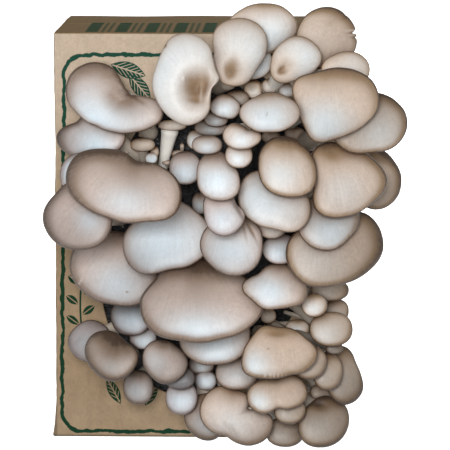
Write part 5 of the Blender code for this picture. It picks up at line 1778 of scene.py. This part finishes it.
@dataclass
class Carton:
    """The folded carton: outer walls, seam of the top flaps, oval window, cut edge and inner walls."""

    wide: float = 174.0
    deep: float = 127.0
    tall: float = 254.0
    fold: float = 2.5
    foot_flare: float = 2.5
    foot_rise: float = 26.0
    seam_wide: float = 1.2
    seam_deep: float = 1.0
    along: int = 48             # points along a short side
    upright: int = 66           # points up a long side
    flute: float = 6.4
    flute_out: float = 0.95
    flute_thick: float = 0.22
    flute_back: float = 0.12    # behind the window's edge
    lip: float = 0.25           # the cut edge is rounded by this much

    def outline(self, inset: float, corner: float) -> Array:
        """A rounded rectangle of the carton's width and height, clockwise from the front.

        Args:
            inset: how far inside the carton's outline.
            corner: its corners' rounding.

        Returns:
            x and z in rows; every outline has the same number of points.
        """
        low, high = inset, self.tall - inset
        half = self.wide / 2 - inset
        points: list[Pair] = []
        spans = ((half, high, half, low), (half, low, -half, low), (-half, low, -half, high),
                 (-half, high, half, high))
        for side, (x0, z0, x1, z1) in enumerate(spans):
            count = self.along if side % 2 else self.upright
            length = math.hypot(x1 - x0, z1 - z0)
            way = np.array([x1 - x0, z1 - z0]) / length
            for step in np.linspace(corner, length - corner, count):
                points.append(tuple(np.array([x0, z0]) + way * step))
            middle = np.array([x1, z1]) - way * corner + self.turned(way) * corner
            for angle in (22.5, 45.0, 67.5):
                turn = math.radians(angle)
                points.append(tuple(middle - self.turned(way) * corner * math.cos(turn)
                                    + way * corner * math.sin(turn)))
        return np.array(points)

    @staticmethod
    def turned(way: Array) -> Array:
        """A way turned a quarter clockwise, which points into the outline."""
        return np.array([way[1], -way[0]])

    def window(self, outline: Array, more: float = 0.0) -> Array:
        """The window's edge on the rays from its centre to an outline, wider by some millimetres."""
        return WINDOW_AT + (outline - WINDOW_AT) / in_window(outline, more)[:, None]

    def build(self) -> bpy.types.Object:
        """Makes the carton, with its cut edge in a second material.

        Returns:
            The carton.
        """
        half, middle = self.deep / 2, np.array([0, self.tall / 2])
        edge, seam = self.outline(self.fold, 1.0), self.seam_wide / 2
        rings = [upright(middle + (edge - middle) * share, half) for share in (0.2, 0.4, 0.6, 0.8, 1.0)]
        rings += [upright(self.outline(inset, 1.2), half - back)
                  for inset, back in folded(self.fold, (30, 60, 90))]
        beside = (seam + 0.9, seam + 0.15, seam, -seam, -seam - 0.15, -seam - 0.9)
        for y in (*np.linspace(half - 8, 6, 8), *beside, *np.linspace(-6, -half + 6, 8)):
            ring = self.outline(0.0, 1.2)
            if abs(y) <= seam:
                ring[:, 1] = np.minimum(ring[:, 1], self.tall - self.seam_deep)
            rings.append(upright(ring, y))
        rings += [upright(self.outline(inset, 1.2), -half + back)
                  for back, inset in folded(self.fold, (0, 22, 45, 68, 90))]
        lip = self.window(edge, self.lip)
        rings += [upright(edge + (lip - edge) * share, -half) for share in np.linspace(0, 1, 18)[1:]]
        wall_start = len(rings) - 1
        rings += [upright(self.window(edge), -half + depth) for depth in (0.25, 1.2, 2.0, 2.75)]
        rings.append(upright(lip, -half + BOARD))
        wall_end = len(rings) - 1
        inner = self.outline(BOARD, 1.0)
        rings += [upright(lip + (inner - lip) * share, -half + BOARD) for share in (0.35, 0.7, 1.0)]
        rings += [upright(inner, y) for y in (-half * 0.5, 0.0, half * 0.5, half - BOARD)]
        poles = ((0, half, self.tall / 2), (0, half - BOARD, self.tall / 2))
        points, faces = loft(rings, poles)
        made = mesh_object("carton_board", self.uneven(points), faces, (KRAFT, CUT_BOARD_PAINTED_SHADE))
        sides = len(rings[0])
        slots = np.zeros(len(faces), np.int32)
        slots[sides * (1 + wall_start):sides * (1 + wall_end)] = 1
        made.data.polygons.foreach_set("material_index", slots)
        made.data.set_sharp_from_angle(angle=math.radians(50))
        return made

    def uneven(self, points: Array) -> Array:
        """Flares the foot, and lets panels and folds be a little uneven; what stands on the floor stays.

        Args:
            points: the carton's points.

        Returns:
            The points in their new places.
        """
        x, y, z = points.T.copy()
        flare = self.foot_flare * np.clip(1 - z / self.foot_rise, 0, 1) ** 1.5
        x = x * (1 + flare / (self.wide / 2))
        rest = smooth(z, 0.0, 12.0)
        panel = clouds(points, 130, 1) * 0.28 + clouds(points, 34, 2) * 0.10
        fold = clouds(points, 60, 3) * 0.22 + clouds(points, 15, 4) * 0.10
        front = smooth(-y, 55, 63)
        y = y - (panel - 0.3) * rest * front * 0.8
        x = x + np.sign(x) * smooth(np.abs(x), 70, 87) * (fold - 0.1) * rest
        on_top = smooth(z, 252.5, 254.0)
        z = z + on_top * (clouds(points, 70, 5) * 0.2 - 0.25 - 0.25 * smooth(np.abs(y), 55, 62))
        return np.column_stack([x, y, z])

    def build_flutes(self) -> bpy.types.Object:
        """The wavy inner sheet that shows along the window's cut edge.

        Returns:
            The winding strand.
        """
        edge = self.window(self.outline(self.fold, 1.0), self.flute_back)
        count = len(edge)
        made = mesh_object("window_flutes", upright(edge, FRONT + BOARD / 2), (), (),
                           [(i, (i + 1) % count) for i in range(count)])
        FluteTree().grow(made, pitch=self.flute * METRE, swing=self.flute_out * METRE,
                         sheet=self.flute_thick * METRE, look=CUT_BOARD_PAINTED_SHADE.material())
        made.data.shade_smooth()
        return made


class FluteTree(Growing):
    """A thin strand that winds from sheet to sheet of the board along a loop of edges."""

    STEP = 0.7 * METRE          # from point to point of the strand

    def __init__(self) -> None:
        """Builds the tree."""
        super().__init__("flutes", pitch="Float", swing="Float", sheet="Float", look="Material")
        loop = self.add("GeometryNodeMeshToCurve", {"Mesh": self.given("Geometry")})
        fine = self.add("GeometryNodeResampleCurve", {"Curve": loop, "Length": self.STEP}, mode="LENGTH")
        run = self.add("GeometryNodeSplineParameter", output="Length")
        swing = (run / self.given("pitch") * math.tau).math("SINE")
        offset = self.joined(0.0, swing * self.given("swing"), 0.0)
        wound = self.add("GeometryNodeSetPosition", {"Geometry": fine, "Offset": offset})
        ring = self.add("GeometryNodeCurvePrimitiveCircle", {"Resolution": 6, "Radius": self.given("sheet")})
        self.close(self.add("GeometryNodeCurveToMesh", {"Curve": wound, "Profile Curve": ring}), "look")


@dataclass
class Bag:
    """The block in its black bag, creased where it shows in the window."""

    carton: Carton
    gap: float = 1.0
    edge: float = 9.0
    creases: float = 1.5
    rings_in_front: int = 64

    def build(self) -> bpy.types.Object:
        """Makes the bagged block.

        Returns:
            The bag.
        """
        carton, inset = self.carton, BOARD + self.gap
        half, middle = carton.deep / 2 - inset, np.array([0, carton.tall / 2])
        low = carton.outline(inset + self.edge, 2.0)
        rings = [upright(middle + (low - middle) * share, half) for share in (0.35, 0.7, 1.0)]
        rings += [upright(carton.outline(inset + side, 3.0), half - back)
                  for side, back in folded(self.edge, (30, 60, 90))]
        rings += [upright(carton.outline(inset + side, 3.0), -half + back)
                  for back, side in folded(self.edge, (0, 30, 60, 90))]
        rings += [upright(WINDOW_AT + (low - WINDOW_AT) * share, -half)
                  for share in np.linspace(1, 0.02, self.rings_in_front)[1:]]
        poles = ((0, half, carton.tall / 2), (WINDOW_AT[0], -half, WINDOW_AT[1]))
        points, faces = loft(rings, poles)
        return mesh_object("bag_film", self.creased(points, -half), faces, (FILM,))

    def creased(self, points: Array, front: float) -> Array:
        """Pushes creases forward where the film shows in the window.

        Args:
            points: the bag's points.
            front: y of the bag's front.

        Returns:
            The points in their new places.
        """
        flat = points[:, (0, 2)]
        inside = 1 - smooth(in_window(flat, -1.0), 0.9, 1.0)
        sheet = np.column_stack([flat[:, 0], flat[:, 1], np.zeros(len(flat))])
        ridge = (1 - np.abs(clouds(sheet, 42, 11))).clip(0, 1) ** 3
        fine = (1 - np.abs(clouds(sheet, 15, 12))).clip(0, 1) ** 2
        push = self.creases * (0.65 * ridge + 0.35 * fine) * inside * (np.abs(points[:, 1] - front) < 0.01)
        return points - np.column_stack([np.zeros(len(push)), push, np.zeros(len(push))])


# ---- studio ----

@dataclass
class Studio:
    """Camera, pale floor and soft light."""

    eye: Place = (82.8, -2063.5, 431.1)
    pitch: float = 8.43         # degrees down
    yaw: float = -1.84          # degrees to the right
    focal: float = 3269.8       # in pixels of the picture
    picture: float = 450.0
    sensor: float = 36.0
    surround: float = 0.24      # light of the surround
    middle: Place = (0.0, -0.06, 0.13)      # what the lights aim at, in metres

    def build(self) -> None:
        """Places everything and stages the floor."""
        scene = bpy.context.scene
        scene.view_settings.view_transform = "Standard"
        camera = bpy.data.objects.new("camera", bpy.data.cameras.new("camera"))
        camera.data.sensor_width = self.sensor
        camera.data.lens = self.focal * self.sensor / self.picture
        camera.data.clip_end = 50
        camera.location = Vector(self.eye) * METRE
        camera.rotation_euler = (math.radians(90 - self.pitch), 0, math.radians(-self.yaw))
        scene.collection.objects.link(camera)
        scene.camera = camera
        self.add_world()
        self.add_light("key", (-0.14, -2.30, 0.66), self.middle, 0.9, 45.5, (1.0, 0.99, 0.97))
        self.add_light("left", (-1.9, 0.7, 0.9), self.middle, 1.0, 5.0, (0.84, 0.93, 1.0))
        self.add_light("right", (1.9, 0.7, 0.9), self.middle, 1.0, 5.0, (1.0, 0.94, 0.86))
        over = self.add_light("overhead", (0.0, 1.6, 3.0), (0.0, 1.5, 0.0), 4.5, 330, (1.0, 1.0, 1.0))
        only_floor = bpy.data.collections.new("only_floor")
        only_floor.objects.link(self.add_floor())
        over.light_linking.receiver_collection = only_floor
        over.light_linking.blocker_collection = only_floor
        self.add_light("back", (0.5, 2.4, 0.35), self.middle, 1.2, 20.0, (1.0, 0.98, 0.95))

    def light_board(self, board: bpy.types.Object) -> None:
        """Lights the carton's own sides, which face away from the key light.

        Args:
            board: the carton.
        """
        only_board = bpy.data.collections.new("only_board")
        only_board.objects.link(board)
        for name, x in (("board_left", -2.4), ("board_right", 2.4)):
            light = self.add_light(name, (x, 0.4, 0.3), (0.0, 0.0, 0.13), 1.0, 22.0, (1.0, 0.98, 0.95))
            light.light_linking.receiver_collection = only_board

    def add_world(self) -> None:
        """An even white surround."""
        world = bpy.data.worlds.new("surround")
        world.use_nodes = True
        inputs = world.node_tree.nodes["Background"].inputs
        inputs["Color"].default_value = (1, 1, 1, 1)
        inputs["Strength"].default_value = self.surround
        bpy.context.scene.world = world

    def add_light(self, name: str, at: Place, aim: Place, size: float, power: float,
                  colour: Colour) -> bpy.types.Object:
        """A soft square light.

        Args:
            name: the light's name.
            at: its place, in metres.
            aim: the place it shines at.
            size: the length of its sides.
            power: its power in watts.
            colour: its colour.

        Returns:
            The light.
        """
        light = bpy.data.lights.new(name, "AREA")
        light.size = size
        light.energy = power
        light.color = colour
        made = bpy.data.objects.new(name, light)
        made.location = at
        made.rotation_euler = (Vector(aim) - Vector(at)).to_track_quat("-Z", "Y").to_euler()
        made.visible_camera = False
        bpy.context.scene.collection.objects.link(made)
        return made

    def add_floor(self) -> bpy.types.Object:
        """A pale floor that fills the view.

        Returns:
            The floor.
        """
        far = 9000.0
        points = np.array([(-far, -far, 0), (far, -far, 0), (far, far, 0), (-far, far, 0)])
        floor = mesh_object("floor", points - (0, 0, 0.02), [(0, 1, 2, 3)], (FLOOR,))
        floor.visible_diffuse = False
        return floor


def settle(piece: bpy.types.Object, slot: str, *nodes: str) -> None:
    """Args:
        piece: the piece.
        slot: the material slot's name; not used.
        nodes: the nodes that it stands for, if any.
    """
    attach(piece, BODY)
    if nodes:
        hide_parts(*nodes)
    log.info("%s rides on %s and has %d faces", piece.name, BODY, len(piece.data.polygons))


def main() -> None:
    """Builds the studio, the carton, the bag and the mushrooms."""
    logging.basicConfig(level=logging.INFO, format="%(name)s: %(message)s")
    studio = Studio()
    studio.build()
    carton = Carton()
    board, film = carton.build(), Bag(carton).build()
    studio.light_board(board)
    settle(board, "kraft_board", "carton")
    settle(carton.build_flutes(), "kraft_board")
    settle(film, "black_bag", "growing_block")
    cluster = Cluster()
    cluster.sprout((board, film))
    for node, piece in cluster.build().items():
        settle(piece, "mushroom_flesh", node)
    settle(cluster.build_pins(), "mushroom_flesh")
    settle(cluster.mycelium(), "mushroom_flesh")


if __name__ == "__main__":
    main()
